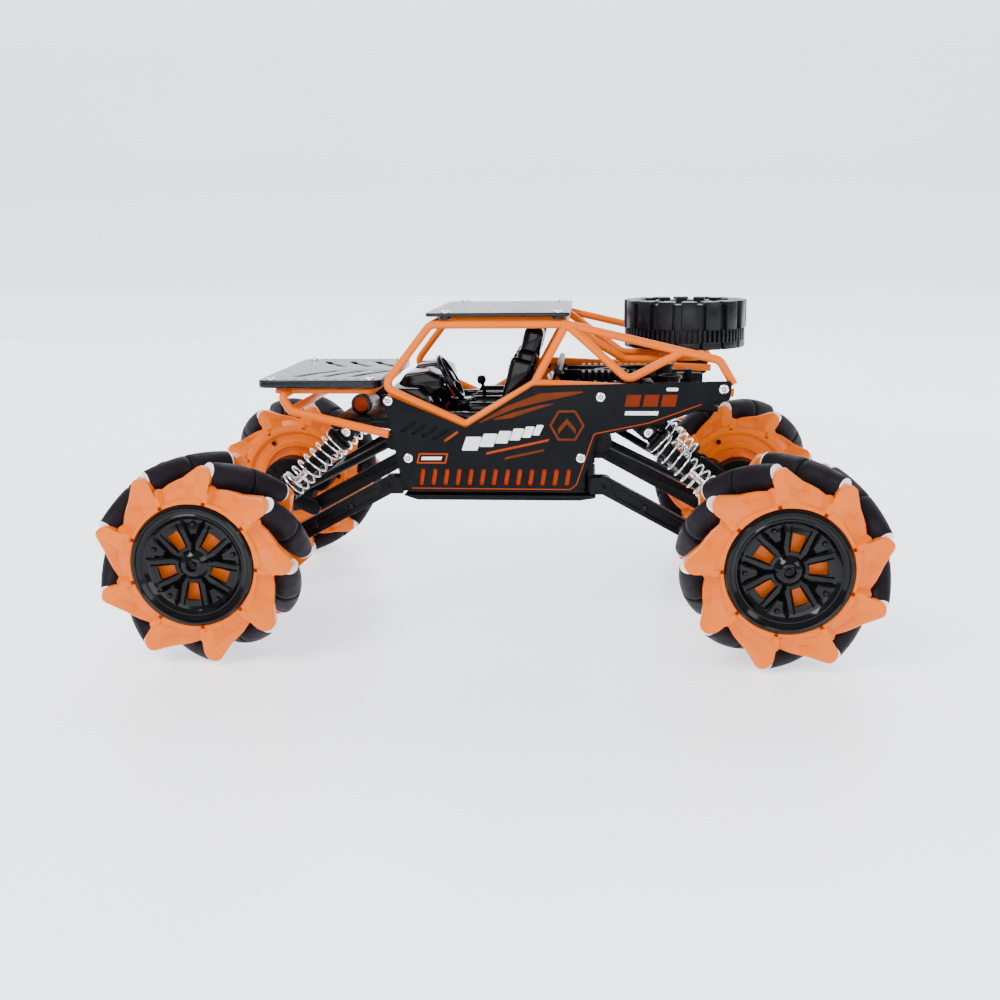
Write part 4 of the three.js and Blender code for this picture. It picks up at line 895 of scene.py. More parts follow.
def subframe(label, end):
    """A chassis end: a ribbed bulkhead, ears and pins for the arms, a shelf, and a tower for each shock."""
    face, back = 40.3, 42.4
    shelf_low, shelf_high = 90.5, 92.8
    shape = Shape()

    def box(x0, y0, z0, x1, y1, z1):
        low_x, high_x = sorted((end * x0, end * x1))
        shape.box((low_x, y0, z0), (high_x, y1, z1), 0.4)

    def ear(pivot, y0, y1):
        """A rounded lug round a pin, run back into the bulkhead."""
        x, z = pivot
        outline = [(41, z - EYE_R), (x, z - EYE_R)]
        for i in range(1, 10):
            angle = math.radians(-90 + 18 * i)
            outline.append((x + EYE_R * math.cos(angle), z + EYE_R * math.sin(angle)))
        outline += [(x, z + EYE_R), (41, z + EYE_R)]
        shape.plate_xz([(end * px, pz) for px, pz in outline], y0, y1, (), 0.3)

    box(face, -47.6, 61, back, 47.6, shelf_high - 0.3)
    box(41, -38, shelf_low, 72, 38, shelf_high)
    for y in (-30, -15, 0, 15, 30):
        rib = [(42, 90.8), (42, 84), (46, 85.5), (70, 89.6), (70, 90.8)]
        shape.plate_xz([(end * x, z) for x, z in rib], y - 0.9, y + 0.9, (), 0.2)
    for side in (-1, 1):
        arm_in, arm_out = side * (ARM_Y - 5.4), side * (ARM_Y + 3.8)
        link_in, link_out = side * (LINK_PIVOT_Y - 6.5), side * (LINK_PIVOT_Y + 2.8)
        ear(LOWER_PIVOT, arm_in, arm_in + side * 2.4)
        ear(LOWER_PIVOT, arm_out, arm_out - side * 0.8)
        ear(UPPER_PIVOT, link_in, link_in + side * 2.4)
        ear(UPPER_PIVOT, link_out, link_out + side * 2.4)
        for (x, z), y0, y1 in ((LOWER_PIVOT, arm_in, arm_out), (UPPER_PIVOT, link_in, link_out)):
            shape.bar((end * x, y0 + side, z), (end * x, y1, z), PIN_R, 18)
        tower = [(56, shelf_high - 0.1), (56, shelf_low), (SHOCK_TOP[0] - 3, SHOCK_TOP[1] - 3),
                 (SHOCK_TOP[0] + 3, SHOCK_TOP[1] - 3), (72, shelf_low), (72, shelf_high - 0.1)]
        tower = rounded([(end * x, z) for x, z in tower], 1.2, 3)
        shape.plate_xz(tower, side * 35, side * 39.4, (), 0.3)
        x, z = end * SHOCK_TOP[0], SHOCK_TOP[1]
        shape.bar((x, side * 38, z), (x, side * 47, z), PIN_R, 18)
    shape.piece(f"chassis_end_{label}", "chassis", [BLACK], [f"subframe_{label}"])


for label, end, side, _, _ in CORNERS:
    name = label.split("_")[0]
    lower_arm(label, end, side, f"lower_arms_{name}")
    shock(label, end, side, f"shock_bodies_{name}", f"shock_rods_{name}")
    wheel_motor(label, end, side, f"axle_{name}")
for label, end in ENDS:
    wishbone(label, end, f"upper_link_{label}")
    axle(label, end, f"axle_{label}")
    subframe(label, end)
    for side_name, side in SIDES:
        at = (end * SHOCK_TOP[0], side * 46.9, SHOCK_TOP[1])
        screw(f"shock_top_bolt_{label}_{side_name}", at, (0, side, 0), "chassis")

# ---------- chassis ----------
SWITCH_X, SWITCH_Y = -8, 32


def chassis_tub():
    """An open tray with ribs along its sides and a flange round its rim."""
    low, high = size("chassis_tub")
    wall = 2.5
    shape = Shape()
    outline = rounded(rectangle(low, high), 2.2, 4)
    inner = rounded(rectangle(low, high, wall), 1.6, 4)
    shape.plate_xy(outline, low.z, low.z + wall, (), 0.5)
    shape.plate_xy(outline, low.z + wall - 0.4, high.z, [inner], 0.4)
    for side in (-1, 1):
        for i in range(7):
            x = low.x + 8 + 10.6 * i
            y = side * (high.y - wall - 0.6)
            shape.box((x - 0.7, min(y, y - side), low.z + 2), (x + 0.7, max(y, y + side), high.z - 3), 0.3)
    shape.piece("tub", "chassis", [BLACK], ["chassis_tub"])


def skid_plate():
    """The belly pan, with keel ribs, a battery door and screws."""
    low, high = size("skid_plate")
    shape = Shape()
    section = [(low.x, high.z), (low.x, 59.2), (low.x + 6, low.z + 0.7), (high.x - 7, low.z + 0.7),
               (high.x, 58.4), (high.x, high.z)]
    for y0, y1 in ((low.y, SWITCH_Y - 4), (SWITCH_Y + 4, high.y)):
        shape.plate_xz(rounded(section, 0.5, 2), y0, y1, (), 0.2)
    for x0, x1 in ((low.x + 6, SWITCH_X - 6), (SWITCH_X + 6, high.x - 7)):
        shape.box((x0, SWITCH_Y - 4.2, low.z + 0.7), (x1, SWITCH_Y + 4.2, high.z), 0.2)
    door = rounded([(-34, -20), (30, -20), (30, 20), (-34, 20)], 3, 4)
    shape.plate_xy(door, low.z, low.z + 1.2, [circle((-30, 0), 2.6), circle((26, 0), 2.6)], 0.25)
    for y in (-42, -34, -26):
        shape.box((-33, y - 0.8, low.z), (35, y + 0.8, low.z + 1), 0.3)
    shape.piece("belly_pan", "chassis", [BLACK], ["skid_plate"])
    for name, x, y in (("front", -30, 0), ("rear", 26, 0)):
        screw(f"door_screw_{name}", (x, y, low.z + 0.9), (0, 0, -1), "chassis", SMALL_SCREW)


def power_switch():
    low, high = size("switch_knob")
    shape = Shape()
    shape.box((low.x, low.y, high.z - 1.4), high, 0.3)
    middle = (low + high) / 2
    for i in range(3):
        x = middle.x - 1.1 + 1.1 * i
        shape.box((x - 0.4, middle.y - 2, low.z), (x + 0.4, middle.y + 2, high.z - 1), 0.15)
    shape.piece("switch_slider", "power_switch", [GLOSS], ["switch_knob"])


def battery():
    low, high = size("battery_pack")
    radius = (high.y - low.y) / 4 - 0.05
    z = low.z + radius
    shape = Shape()
    for side in (-1, 1):
        shape.bar((low.x + 0.6, side * radius, z), (high.x - 0.6, side * radius, z), radius, 36, 1.2)
        for x in (low.x, high.x - 1):
            shape.bar((x, side * radius, z), (x + 1, side * radius, z), 4.5, 24, 0.2, m=1)
    shape.box((low.x + 1, -radius, z - radius * 0.84), (high.x - 1, radius, z + radius * 0.84), 0.8)
    shape.piece("battery_cells", "chassis", [battery_wrap(), CHROME], ["battery_pack"])


def control_board():
    """The receiver board: chips, capacitors, a crystal and a row of motor connectors."""
    low, high = size("control_board")
    board_top = low.z + 1.6
    shape = Shape()
    outline = rounded(rectangle(low, high), 1, 3)
    holes = [circle((x, y), 0.9, 14)
             for x in (low.x + 2.2, high.x - 2.2) for y in (low.y + 2.2, high.y - 2.2)]
    shape.plate_xy(outline, low.z, board_top, holes, 0.1)
    for x in (-18, 0, 17):
        shape.box((x - 4, 27.5, board_top - 0.1), (x + 4, 34.5, board_top + 1.2), 0.15, m=1)
        for i in range(6):
            px = x - 3.2 + 1.28 * i
            for y in (27.0, 34.2):
                low_pin, high_pin = (px - 0.25, y, board_top - 0.1), (px + 0.25, y + 0.8, board_top + 0.5)
                shape.box(low_pin, high_pin, 0.05, 1, m=2)
    for x in (-9, -7, 8):
        shape.bar((x, 38, board_top - 0.1), (x, 38, high.z), 1.1, 18, 0.2, m=2)
    for i in range(4):
        x = -26 + 15 * i
        shape.box((x - 2.4, high.y - 3.4, board_top - 0.1), (x + 2.4, high.y - 0.2, high.z), 0.2, m=3)
    shape.piece("receiver_board", "chassis", [board_green(), BLACK, CHROME, WHITE], ["control_board"])


chassis_tub()
skid_plate()
power_switch()
battery()
control_board()

# ---------- cage ----------
BELT_FRONT, BELT_DIP, BELT_REAR = (-48.6, 107.6), (-12.7, 91.4), (17, 109.2)
ROOF_FRONT, ROOF_REAR = (-28, ROOF_Z), (30.5, ROOF_Z)
TAIL_TOP, TAIL_LOW = (95.5, 118.7), (101.5, 108.5)
BRACE_LOW, BRACE_HIGH = (57, 110.6), (80, 122.4)
BUMPER_R = 1.9


def cage_point(point, side):
    """A point of the cage's side, which leans inwards from the belt line to the roof."""
    rise = min(max((point[1] - BELT_REAR[1]) / (ROOF_Z - BELT_REAR[1]), 0), 1)
    return Vector((point[0], side * lerp(CAGE_LOW_Y, CAGE_HIGH_Y, rise), point[1]))


def hidden(point, drop=3.4):
    """A belt-rail point lowered until the side panel covers it."""
    return point[0], point[1] - drop


def side_frame(label, side):
    shape = Shape()
    runs = (
        (BELT_DIP, BELT_FRONT, ROOF_FRONT, ROOF_REAR, TAIL_TOP, TAIL_LOW),
        (BELT_DIP, BELT_REAR, ROOF_REAR),
        (BELT_REAR, hidden(BRACE_LOW), hidden(TAIL_LOW)),
        (ROOF_REAR, BRACE_LOW, BRACE_HIGH),
    )
    for run in runs:
        path = rounded([cage_point(p, side) for p in run], 4.5, 5, closed=False)
        shape.tube(path, TUBE_R, 14)
    web = [(-46.5, 104.5), (-43.5, 86), (-39.5, 64.4), (35, 64.2), (41, 84.5), (17, 107.4), (-12.7, 90.4)]
    shape.plate_xz(web, side * (CAGE_LOW_Y - 1.0), side * (CAGE_LOW_Y + 0.8), (), 0.2)
    shape.piece(f"cage_side_{label}", "chassis", [ORANGE], [f"side_frame_{label}"], sharp=40)


def roof_frame():
    shape = Shape()
    clear = CAGE_HIGH_Y - TUBE_R - 0.3
    seat_z = size("spare_wheel")[0].z - 2.7
    for x in (ROOF_FRONT[0] + 1, ROOF_REAR[0] - 1):
        shape.bar((x, -clear, ROOF_Z), (x, clear, ROOF_Z), TUBE_R, 14)
    shape.bar((78, -16, seat_z - 1.6), (78, 16, seat_z - 1.6), TUBE_R, 14)
    for side in (-1, 1):
        shape.bar((ROOF_FRONT[0] + 1, side * 20, ROOF_Z), (ROOF_REAR[0] - 1, side * 20, ROOF_Z), TUBE_R, 14)
        run = [(ROOF_REAR[0] - 1, side * 38, ROOF_Z), (56, side * 18, seat_z - 1.2),
               (79, side * 14, seat_z - 1.6)]
        shape.tube(rounded(run, 6, 5, closed=False), TUBE_R, 14)
    saddle = [(0, -3), (8.4, -3), (9, -2.4), (9, 1.6), (8.4, 2.0), (0, 2.0)]
    shape.lathe(saddle, (84, 0, seat_z), (0, 0, 1), 32)
    shape.box((73, -6, seat_z - 3), (84, 6, seat_z - 0.5), 0.6)
    shape.piece("roof_bars", "chassis", [ORANGE], ["roof_frame"], sharp=40)


def nose_frame():
    shape = Shape()
    liner = rounded([(-99, -42), (-54, -42), (-54, 42), (-99, 42)], 4)
    shape.plate_xy(liner, 103.6, 105.6, (), 0.4)
    for side in (-1, 1):
        run = [(-92, side * 40, 104.6), (-94, side * 48, 103.2), (-90, side * 48, 96.8),
               (-46.5, side * 50.8, 87.2)]
        shape.tube(rounded(run, 4, 5, closed=False), BUMPER_R, 14)
    shape.bar((-90, -48, 96.8), (-90, 48, 96.8), BUMPER_R, 14)
    shape.piece("bumper_frame", "chassis", [ORANGE], ["nose_frame"], sharp=40)


for label, side in SIDES:
    side_frame(label, side)
roof_frame()
nose_frame()

# ---------- body panels ----------
PANEL_OUTLINE = (
    (-49.1, 105.7), (-44.5, 86), (-40.7, 62.5), (36.6, 62.2), (44, 86.5), (73, 93),
    (99.8, 102.5), (100.5, 110.4), (52.9, 109.2), (16.5, 108.4), (-12.7, 90.2),
)
PANEL_SCREWS = ((-46.0, 102.0), (-37.8, 77), (37.0, 77.3), (45.3, 103.7), (97.0, 107.0))
SLOTS = 13


def slanted(x, low, high, width, lean):
    return [(x, low), (x + width, low), (x + width + lean, high), (x + lean, high)]


def decal(name, side, outline, ink, holes=(), layer=0):
    """A thin printed shape on a side panel, drawn as seen from the left side."""
    lift = 0.02 + 0.03 * layer
    shape = Shape()
    shape.plate_xz(outline, side * (PANEL_OUT_Y - 0.05), side * (PANEL_OUT_Y + lift), holes, 0.005)
    shape.piece(name, "chassis", [ink])


def band(points, width):
    """A strip of even width along a polyline."""
    points = [Vector(p) for p in points]
    left, right = [], []
    for i, point in enumerate(points):
        ahead = (points[min(i + 1, len(points) - 1)] - points[max(i - 1, 0)]).normalized()
        across = Vector((-ahead.y, ahead.x)) * width / 2
        left.append(point + across)
        right.append(point - across)
    return left + right[::-1]


def side_panel(label, side):
    shape = Shape()
    holes = []
    for i in range(SLOTS):
        x = -33.5 + 63.4 / (SLOTS - 1) * i
        holes.append(rounded(slanted(x, 64.8, 72.2, 1.9, 1.2), 0.8, 3))
    for i in range(5):
        x, z = -41 + 4.6 * i, 91.4 - 1.1 * i
        vent = [(x, z - 2.4), (x + 1, z - 3.2), (x + 7.2, z + 1.2), (x + 6.2, z + 2)]
        holes.append(rounded(vent, 0.4, 2))
    shape.plate_xz(rounded(PANEL_OUTLINE, 1.6, 3), side * PANEL_IN_Y, side * PANEL_OUT_Y, holes, 0.22)
    shape.piece(f"armour_panel_{label}", "chassis", [PANEL], [f"side_panel_{label}"])
    # Painted shade behind the slots: a dark red-orange strip in place of the shaded orange frame.
    backing = Shape()
    behind = side * (PANEL_IN_Y - 0.02), side * (PANEL_IN_Y + 0.12)
    backing.plate_xz([(-36.5, 64.2), (33, 64.2), (33, 73), (-36.5, 73)], *behind, (), 0.02)
    backing.piece(f"slot_backing_{label}", "chassis", [SLOT_SHADE_ORANGE])
    cover = Shape()
    cover.plate_xz([(-42.5, 95), (-42.5, 87.2), (-26.4, 82.6), (-19.2, 89), (-23.4, 91.4)], *behind, (), 0.02)
    cover.piece(f"vent_backing_{label}", "chassis", [PANEL])
    for k, (x, z) in enumerate(PANEL_SCREWS):
        screw(f"panel_screw_{label}_{k + 1}", (x, side * (PANEL_OUT_Y - 0.05), z), (0, side, 0), "chassis")
    graphics(label, side)


def graphics(label, side):
    """Plain printed shapes: pinstripes, a wedge, an emblem, slanted bars and a tab."""
    stripe = [(-36.5, 63.7), (32.6, 63.4), (35.2, 65.6), (42.6, 87.8), (66, 92.6), (88, 100.6)]
    decal(f"pinstripe_{label}", side, band(rounded(stripe, 2.2, 4, closed=False), 0.42), INK_ORANGE)
    wedge = [(-10.6, 90.6), (4.5, 99.4), (19.5, 105.2), (43.5, 106.6), (20, 101.6), (9, 98.8)]
    decal(f"wedge_{label}", side, rounded(wedge, 0.8, 3), INK_RUST)
    under = [(-3, 93.4), (8, 97.0), (19, 100.0), (27.6, 101.4), (17, 98.0), (7, 94.6)]
    decal(f"wedge_low_{label}", side, rounded(under, 0.6, 3), INK_RUST)
    hexagon = circle((31, 91.4), 7.6, 6)
    inside = circle((31, 91.4), 6.5, 6)
    decal(f"emblem_ring_{label}", side, rounded(hexagon, 0.8, 2), INK_RUST, [rounded(inside, 0.7, 2)])
    chevron = [(27.2, 90), (31, 94.4), (34.8, 90), (34.8, 87.6), (31, 92), (27.2, 87.6)]
    decal(f"emblem_chevron_{label}", side, chevron, INK_RUST)
    x = -14.5
    for k in range(6):
        width = 6.8 - 0.75 * k
        low = 80.4 + 0.22 * (x + 14.5)
        bar = slanted(x, low, low + 6.0 - 0.3 * k, width, 2.2)
        decal(f"bar_{label}_{k + 1}", side, rounded(bar, 0.5, 2), INK_WHITE)
        x += width + 0.8
    for k, (start, length, lift) in enumerate(((-4, 27, 0), (4, 17, -2.2))):
        low = 78.6 + lift
        line = [(start, low), (start + length, low + 0.22 * length),
                (start + length + 0.5, low + 0.22 * length + 1.1),
                (start + 0.5, low + 1.1)]
        decal(f"underline_{label}_{k + 1}", side, line, INK_ORANGE if k == 0 else INK_RUST)
    for k in range(3):
        decal(f"rear_block_{label}_{k + 1}", side, slanted(55.5 + 7.6 * k, 99.6, 104.6, 6.2, 0.9), INK_RED)
    decal(f"rear_line_{label}", side, slanted(55.5, 95.9, 97.6, 14, 0.4), INK_WHITE)
    decal(f"rear_dash_{label}", side, rounded([(73, 106.2), (78, 106.2), (78, 107.6), (73, 107.6)], 0.7, 3),
          INK_WHITE)
    badge = slanted(-34.4, 74.6, 79.2, 13, 1.2)
    decal(f"badge_{label}", side, rounded(badge, 0.5, 2), INK_ORANGE)
    decal(f"badge_field_{label}", side, slanted(-33.4, 75.3, 78.5, 11.4, 0.8), PANEL, layer=1)
    decal(f"badge_bar_{label}", side, slanted(-32.2, 76.2, 77.6, 8.8, 0.4), INK_WHITE, layer=2)


def square(x, y, half):
    return [(x - half, y - half), (x + half, y - half), (x + half, y + half), (x - half, y + half)]


def corner_screws(name, places, y, z):
    """Four screws in a flat panel, two at each place along the car."""
    for k, x in enumerate(places):
        for side_name, side in SIDES:
            screw(f"{name}_{k + 1}_{side_name}", (x, side * y, z - 0.05), (0, 0, 1), "chassis")


def hood():
    low, high = size("hood")
    shape = Shape()
    outline = rounded(rectangle(low, high), 6, 6)
    holes = []
    for side in (-1, 1):
        for i in range(8):
            holes.append(square(low.x + 11.5 + 4.6 * i, side * 42.8, 0.75))
        for i in range(3):
            x = low.x + 13 + 12.5 * i
            bend = x + 4.5
            slot = [(x, 33), (x + 3.2, 33), (bend + 3.2, 22), (bend + 12.2, 9), (bend + 9, 9), (bend, 22)]
            holes.append(rounded([(px, side * py) for px, py in slot], 0.6, 2))
    shape.plate_xy(outline, high.z - 1.6, high.z, holes, 0.5)
    # The folded lip round the edge.
    inner = rounded(rectangle(low, high, 1.8), 4.5, 6)
    shape.plate_xy(outline, low.z, high.z - 0.8, [inner], 0.5)
    shape.piece("hood_panel", "chassis", [TOP], ["hood"])
    corner_screws("hood_screw", (low.x + 5.5, high.x - 5.0), 43.4, high.z)


def roof():
    low, high = size("roof_plate")
    shape = Shape()
    outline = rounded(rectangle(low, high), 3, 5)
    shape.plate_xy(outline, high.z - 1.6, high.z, (), 0.4)
    posts, post_y = (-21.6, 26.9), 45.3
    for x in posts:
        for side in (-1, 1):
            shape.bar((x, side * post_y, ROOF_Z + TUBE_R + 0.3), (x, side * post_y, high.z - 1.2), 2.6, 20)
    shape.piece("roof_panel", "chassis", [TOP], ["roof_plate"])
    corner_screws("roof_screw", posts, post_y, high.z)


for label, side in SIDES:
    side_panel(label, side)
hood()
roof()


# ---------- lamps on the front shelf ----------
def lamp(name, side):
    shape = Shape()
    x, y, z = -62, side * 30, 97.5
    out = (0, side, 0)
    shape.lathe([(0, -3), (4.2, -3), (4.6, -2.4), (4.6, 1.2), (4.2, 1.7), (3.6, 1.7), (3.4, 0.9), (0, 0.9)],
                (x, y, z), out, 32)
    shape.lathe([(0, 0.8), (3.3, 0.8), (3.3, 1.2), (2.6, 1.5), (0, 1.6)], (x, y, z), out, 32, m=1)
    shape.bar((x, y - side * 1.2, 92.6), (x, y - side * 1.2, 95), 2.2, 16)
    shape.piece(name, "chassis", [GLOSS, INK_ORANGE])


for label, side in SIDES:
    lamp(f"nose_lamp_{label}", side)


# ---------- interior ----------
def seat(shape, y):
    """A bucket seat: cushion, raked back with side bolsters, and a headrest."""
    turn = Matrix.Rotation(math.radians(14), 4, "Y")
    shape.box((-14, y - 12, 87), (10, y + 12, 94.5), 2.6, 4)
    shape.box((5.5, y - 10.5, 92), (14.5, y + 10.5, 122), 2.6, 4, turn=turn)
    for side in (-1, 1):
        shape.box((-14, y + side * 11 - 2.4, 90), (7, y + side * 11 + 2.4, 98.5), 2.0, 4)
        shape.box((3.0, y + side * 10.2 - 2.4, 94), (13.5, y + side * 10.2 + 2.4, 118), 2.2, 4, turn=turn)
    shape.box((10.5, y - 8.5, 117.5), (19.2, y + 8.5, 131.4), 3.0, 4, turn=turn)
    for z in (101, 107, 113):
        shape.box((4.3, y - 7.5, z - 2.2), (8.0, y + 7.5, z + 2.2), 1.0, 3, turn=turn)


def cockpit():
    low, high = size("cockpit")
    shape = Shape()
    shape.box((-40, low.y, low.z), (24, high.y, low.z + 2), 0.5)
    dash = [(-40, 86), (-28.5, 86), (-27.2, 97.5), (-30, 103), (-34, 106.2), (-47, 106.5), (-47, 93.5),
            (-40, 93.5)]
    shape.plate_xz(rounded(dash, 1.8, 4), -45, 45, (), 0.8)
    for y in (-20, 20):
        shape.lathe([(0, -2.5), (6.2, -2.5), (6.8, -1.6), (6.8, 1.0), (6.0, 1.8), (5.2, 0.8), (0, 0.8)],
                    (-26.4, y, 103.4), (0.86, 0, 0.5), 28)
    cowl = [(-46, 105), (-29, 101), (-24.6, 104.5), (-26.2, 109.6), (-32, 112.4), (-42, 111)]
    for y in (-20, 20):
        shape.plate_xz(rounded(cowl, 2.4, 5), y - 11, y + 11, (), 1.6)
    middle = [(-46, 104), (-29, 100), (-27.5, 105), (-33, 109), (-43, 108.4)]
    shape.plate_xz(rounded(middle, 1.8, 4), -8.4, 8.4, (), 1.0)
    for i in range(4):
        shape.box((-29.4, -6.6 + 3.6 * i, 101.5), (-27.1, -4.2 + 3.6 * i, 104), 0.3)
    tunnel = [(-29, 86), (20, 86), (20, 94), (8, 95), (-24, 97)]
    shape.plate_xz(rounded(tunnel, 2, 4), -5, 5, (), 1.2)
    for side in (-1, 1):
        shape.box((-26, side * 40 - 3.4, 87), (16, side * 40 + 3.4, 95.5), 1.4, 3)
        shape.tube([(-27, side * 6.6, 90), (-14, side * 6.8, 96.2), (4, side * 6.8, 97.4),
                    (20, side * 6.6, 103)], 1.3, 12)
    shape.tube([(-8, 0, 95), (-9, 0, 100), (-10, 0, 104)], 0.8, 12)
    shape.lathe([(0, -2.2), (1.6, -1.8), (2.2, 0), (1.6, 1.8), (0, 2.2)], (-10.2, 0, 105), (0, 0, 1), 18)
    shape.box((21, -45, 86), (24, 45, 108), 0.8)
    for i in range(8):
        y = -38.5 + 11 * i
        shape.box((20.4, y - 3.6, 89), (21.6, y + 3.6, 105), 0.5)
    for y in (-20, 20):
        seat(shape, y)
    shape.piece("cabin_moulding", "chassis", [GLOSS], ["cockpit"])


def steering_wheel():
    shape = Shape()
    centre = Vector((-22.5, -20, 108.5))
    normal = Vector((0.866, 0, 0.5))
    side = Vector((0, 1, 0))
    up = normal.cross(side)
    profile = []
    for k in range(12):
        angle = 2 * math.pi * k / 12
        profile.append((10.3 + 1.15 * math.cos(angle), 1.15 * math.sin(angle)))
    shape.lathe(profile, centre, normal, 44, closed=True)
    shape.lathe([(0, -1.4), (2.6, -1.4), (3.2, -0.6), (3.2, 0.8), (2.4, 1.4), (0, 1.6)], centre, normal, 24)
    for k in range(3):
        angle = math.radians(120 * k + 90)
        out = side * math.cos(angle) + up * math.sin(angle)
        shape.tube([centre + out * 2, centre + out * 6, centre + out * 10], 0.95, 10)
    shape.bar(centre - normal * 1, centre - normal * 7, 1.6, 16)
    shape.piece("wheel_and_column", "chassis", [GLOSS], ["steering_wheel"])


def engine_deck():
    """A moulded engine bay: ribbed deck, block with finned heads, headers and an air box."""
    low, high = size("engine_deck")
    shape = Shape()
    shape.box((low.x, low.y, low.z), (high.x, high.y, low.z + 2.4), 0.5)
    for i in range(12):
        y = -38.5 + 7 * i
        shape.box((78, y - 1.2, low.z + 2.2), (94, y + 1.2, low.z + 3.4), 0.4)
    block = [(32, 97), (72, 97), (70, 105), (36, 107)]
    shape.plate_xz(rounded(block, 1.5, 3), -13, 13, (), 0.8)
    for side in (-1, 1):
        shape.box((36, side * 15 - 4.6, 99), (66, side * 15 + 4.6, 106), 0.8)
        for i in range(10):
            shape.box((37 + 2.9 * i, side * 15 - 5, 105.4), (38.4 + 2.9 * i, side * 15 + 5, 110.6), 0.3)
        for x in (42, 51, 60):
            run = [(x, side * 18, 104.5), (x + 1, side * 25, 106), (x + 3, side * 31, 103),
                   (x + 6, side * 33, 98.5)]
            shape.tube(rounded(run, 4, 4, closed=False), 1.7, 14)
        shape.tube([(44, side * 34, 99.6), (60, side * 34.5, 99.6), (88, side * 34, 99.6)], 2.3, 16)
    for y in (-34, 34):
        shape.box((26, y - 3.2, 98), (96, y + 3.2, 104.6), 0.8)
        for i in range(9):
            shape.box((28 + 7.4 * i, y - 3.8, 99.4), (31.4 + 7.4 * i, y + 3.8, 106.4), 0.5)
    for x, z in ((27, 112.4), (68, 111.2)):
        shape.bar((x, -38, z), (x, 38, z), 1.5, 16)
    for side in (-1, 1):
        shape.bar((30, side * 9, 108.6), (68, side * 9, 108.6), 2.1, 16)
        shape.bar((76, side * 26, 98), (76, side * 26, 110), 4.6, 24, 0.8)
        shape.lathe([(0, 0), (5.4, 0), (5.4, 1.4), (0, 1.4)], (76, side * 26, 108.6), (0, 0, 1), 24)
    shape.lathe([(0, 0), (7.6, 0), (8, 0.5), (8, 3.4), (7.2, 4.2), (3, 4.2), (2.6, 4.8), (0, 4.8)],
                (50, 0, 105.8), (0, 0, 1), 32)
    shape.piece("engine_bay", "chassis", [BLACK], ["engine_deck"])


cockpit()
steering_wheel()
engine_deck()


# ---------- spare wheel ----------
def spare():
    low, high = size("spare_tyre")
    centre = Vector(((low.x + high.x) / 2, 0, 0))
    radius = (high.x - low.x) / 2
    z0, z1 = low.z, high.z
    mid = (z0 + z1) / 2
    tyre = Shape()
    carcass = [(18.2, z0 + 2.8), (19.2, z0 + 1.7), (20.6, z0 + 1.2), (23.2, z0 + 1.1), (24.8, z0 + 1.6),
               (25.6, z0 + 2.4)]
    carcass += [(25.9, mid - 4), (25.9, mid + 4)]
    carcass += [(r, z0 + z1 - z) for r, z in reversed(carcass[:6])]
    tyre.lathe(carcass, centre, (0, 0, 1), 72, closed=True)
    shoulders = 16
    ribs = 72

    def tread(count, width, inner, outer, za, zb):
        """A ring of blocks on the tyre's tread."""
        for i in range(count):
            block = Shape()
            block.box((inner, -width / 2, za), (outer, width / 2, zb), 0.4, 2)
            mesh = bpy.data.meshes.new("block")
            block.bm.to_mesh(mesh)
            block.bm.free()
            turn = Matrix.Rotation(2 * math.pi * i / count, 4, "Z")
            tyre.absorb(mesh, Matrix.Translation(centre) @ turn)

    tread(shoulders, 6.9, radius - 4.0, radius - 0.35, mid - 1.6, z1 - 0.1)
    tread(ribs, 1.25, radius - 3.2, radius - 0.7, mid - 7.4, mid - 1.2)
    tread(shoulders, 9.2, radius - 4.0, radius - 0.8, z0 + 0.8, mid - 6.8)
    tread(shoulders, 5.2, radius - 8.2, radius - 3.0, z1 - 1.9, z1 - 0.05)
    tyre.piece("spare_tread_tyre", "chassis", [TYRE], ["spare_tyre"])
    wheel = Shape()
    top = size("spare_wheel")[1].z
    rim = [(15.4, z0 + 2.2), (17.8, z0 + 2.2), (18.3, z0 + 3.2), (17.2, mid), (18.3, top - 1.4),
           (17.9, top - 0.2)]
    rim += [(17.0, top), (16.2, top - 0.8), (15.6, top - 4)]
    wheel.lathe(rim, centre, (0, 0, 1), 56, closed=True)
    hub = [(0, z0 + 0.3), (6, z0 + 0.3), (6.4, mid), (5.4, top - 3.6), (4.6, top - 2.4), (3.4, top - 2.0),
           (3.2, top - 3.2), (0, top - 3.2)]
    wheel.lathe(hub, centre, (0, 0, 1), 32)
    for i in range(7):
        angle = 2 * math.pi * i / 7
        for spread in (-0.11, 0.11):
            inner = Vector((math.cos(angle + spread * 0.6), math.sin(angle + spread * 0.6), 0)) * 5
            outer = Vector((math.cos(angle + spread), math.sin(angle + spread), 0)) * 16.4
            a = centre + inner + Vector((0, 0, top - 4.6))
            b = centre + outer + Vector((0, 0, top - 3.4))
            wheel.tube([a, (a + b) / 2 + Vector((0, 0, 0.5)), b], 1.25, 10)
    wheel.piece("spare_spoked_wheel", "chassis", [GLOSS], ["spare_wheel"])


spare()


# ---------- stage ----------
FLOOR_GLOW = 1.35  # keeps the floor and wall pale in the camera's view
CAMERA_AT = (0.0403, -0.5624, 0.1706)


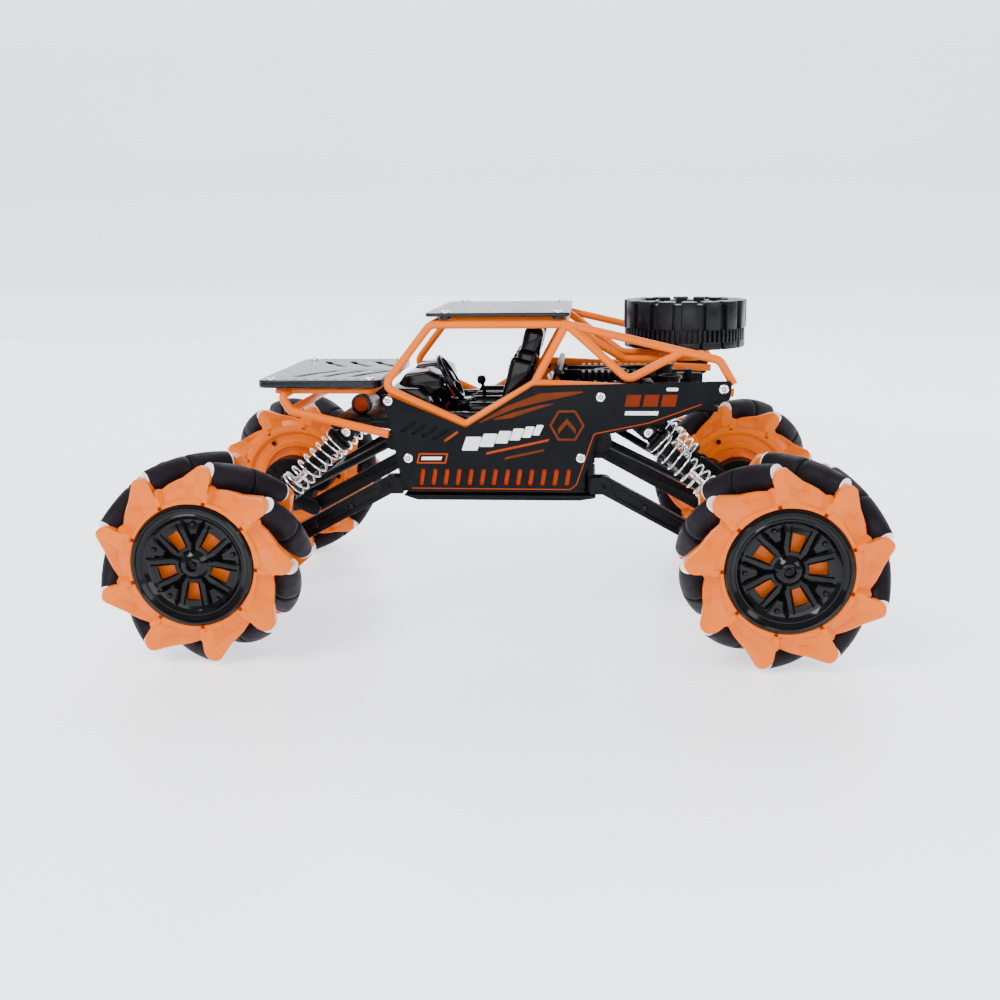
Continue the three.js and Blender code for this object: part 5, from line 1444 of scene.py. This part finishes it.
def stage_floor():
    """A pale sweep: a floor that curves up into a back wall."""
    shape = Shape()
    profile = [(-6000, 0), (1500, 0), (2000, 60), (2400, 300), (2600, 700), (2650, 3200)]
    path = rounded(profile, 400, 8, closed=False)
    rows = [[shape.bm.verts.new((x, p.x, p.y)) for x in (-6000, 6000)] for p in path]
    for a, b in zip(rows, rows[1:]):
        shape.bm.faces.new((a[0], a[1], b[1], b[0]))
    look = Surface("studio_floor", (0.86, 0.87, 0.885), 0.3, gloss=0.35).glow((0.86, 0.91, 1.0), FLOOR_GLOW)
    look.vary_colour((0.82, 0.83, 0.85), 2.5).vary_roughness(0.05, 6)
    look.bump(40, 0.02, 0.001)
    obj = bpy.data.objects.new("studio_floor", shape.mesh("studio_floor", [look.material], 60))
    bpy.context.scene.collection.objects.link(obj)


def area_light(name, at, target, size_m, power, colour=(1, 1, 1)):
    data = bpy.data.lights.new(name, "AREA")
    data.shape = "RECTANGLE"
    data.size, data.size_y = size_m
    data.energy = power
    data.color = colour
    obj = bpy.data.objects.new(name, data)
    obj.location = at
    obj.rotation_euler = (Vector(target) - Vector(at)).to_track_quat("-Z", "Y").to_euler()
    bpy.context.scene.collection.objects.link(obj)


def lights():
    area_light("key", (-0.75, -0.9, 1.25), (0, 0, 0.05), (0.7, 0.7), 30, (1, 0.99, 0.97))
    area_light("fill", (1.3, -0.9, 0.8), (0, 0, 0.05), (0.9, 0.7), 12, (0.97, 0.98, 1))
    area_light("front", (0.1, -1.6, 0.3), (0, 0, 0.05), (1.2, 0.4), 7)
    area_light("back", (0.2, 1.2, 1.2), (0, 0, 0.1), (1.4, 0.6), 16, (0.97, 0.98, 1))
    world = bpy.data.worlds.new("studio")
    world.use_nodes = True
    background = world.node_tree.nodes["Background"]
    background.inputs["Color"].default_value = (0.9, 0.93, 1.0, 1)
    background.inputs["Strength"].default_value = 0.7
    bpy.context.scene.world = world


def camera():
    """The reference view: from the left, a little above, looking down and slightly towards the front."""
    data = bpy.data.cameras.new("camera")
    data.lens = 43.2
    data.sensor_width = 36
    obj = bpy.data.objects.new("camera", data)
    yaw, pitch, roll = -0.0751, 0.2159, -0.0096
    forward = Vector((math.sin(yaw) * math.cos(pitch), math.cos(yaw) * math.cos(pitch), -math.sin(pitch)))
    right = Vector((math.cos(yaw), -math.sin(yaw), 0))
    up = right.cross(forward)
    turned_right = right * math.cos(roll) + up * math.sin(roll)
    turned_up = up * math.cos(roll) - right * math.sin(roll)
    basis = Matrix((turned_right, turned_up, -forward)).transposed().to_4x4()
    obj.matrix_world = Matrix.Translation(CAMERA_AT) @ basis
    bpy.context.scene.collection.objects.link(obj)
    bpy.context.scene.camera = obj


stage_floor()
lights()
camera()

bpy.context.view_layer.update()
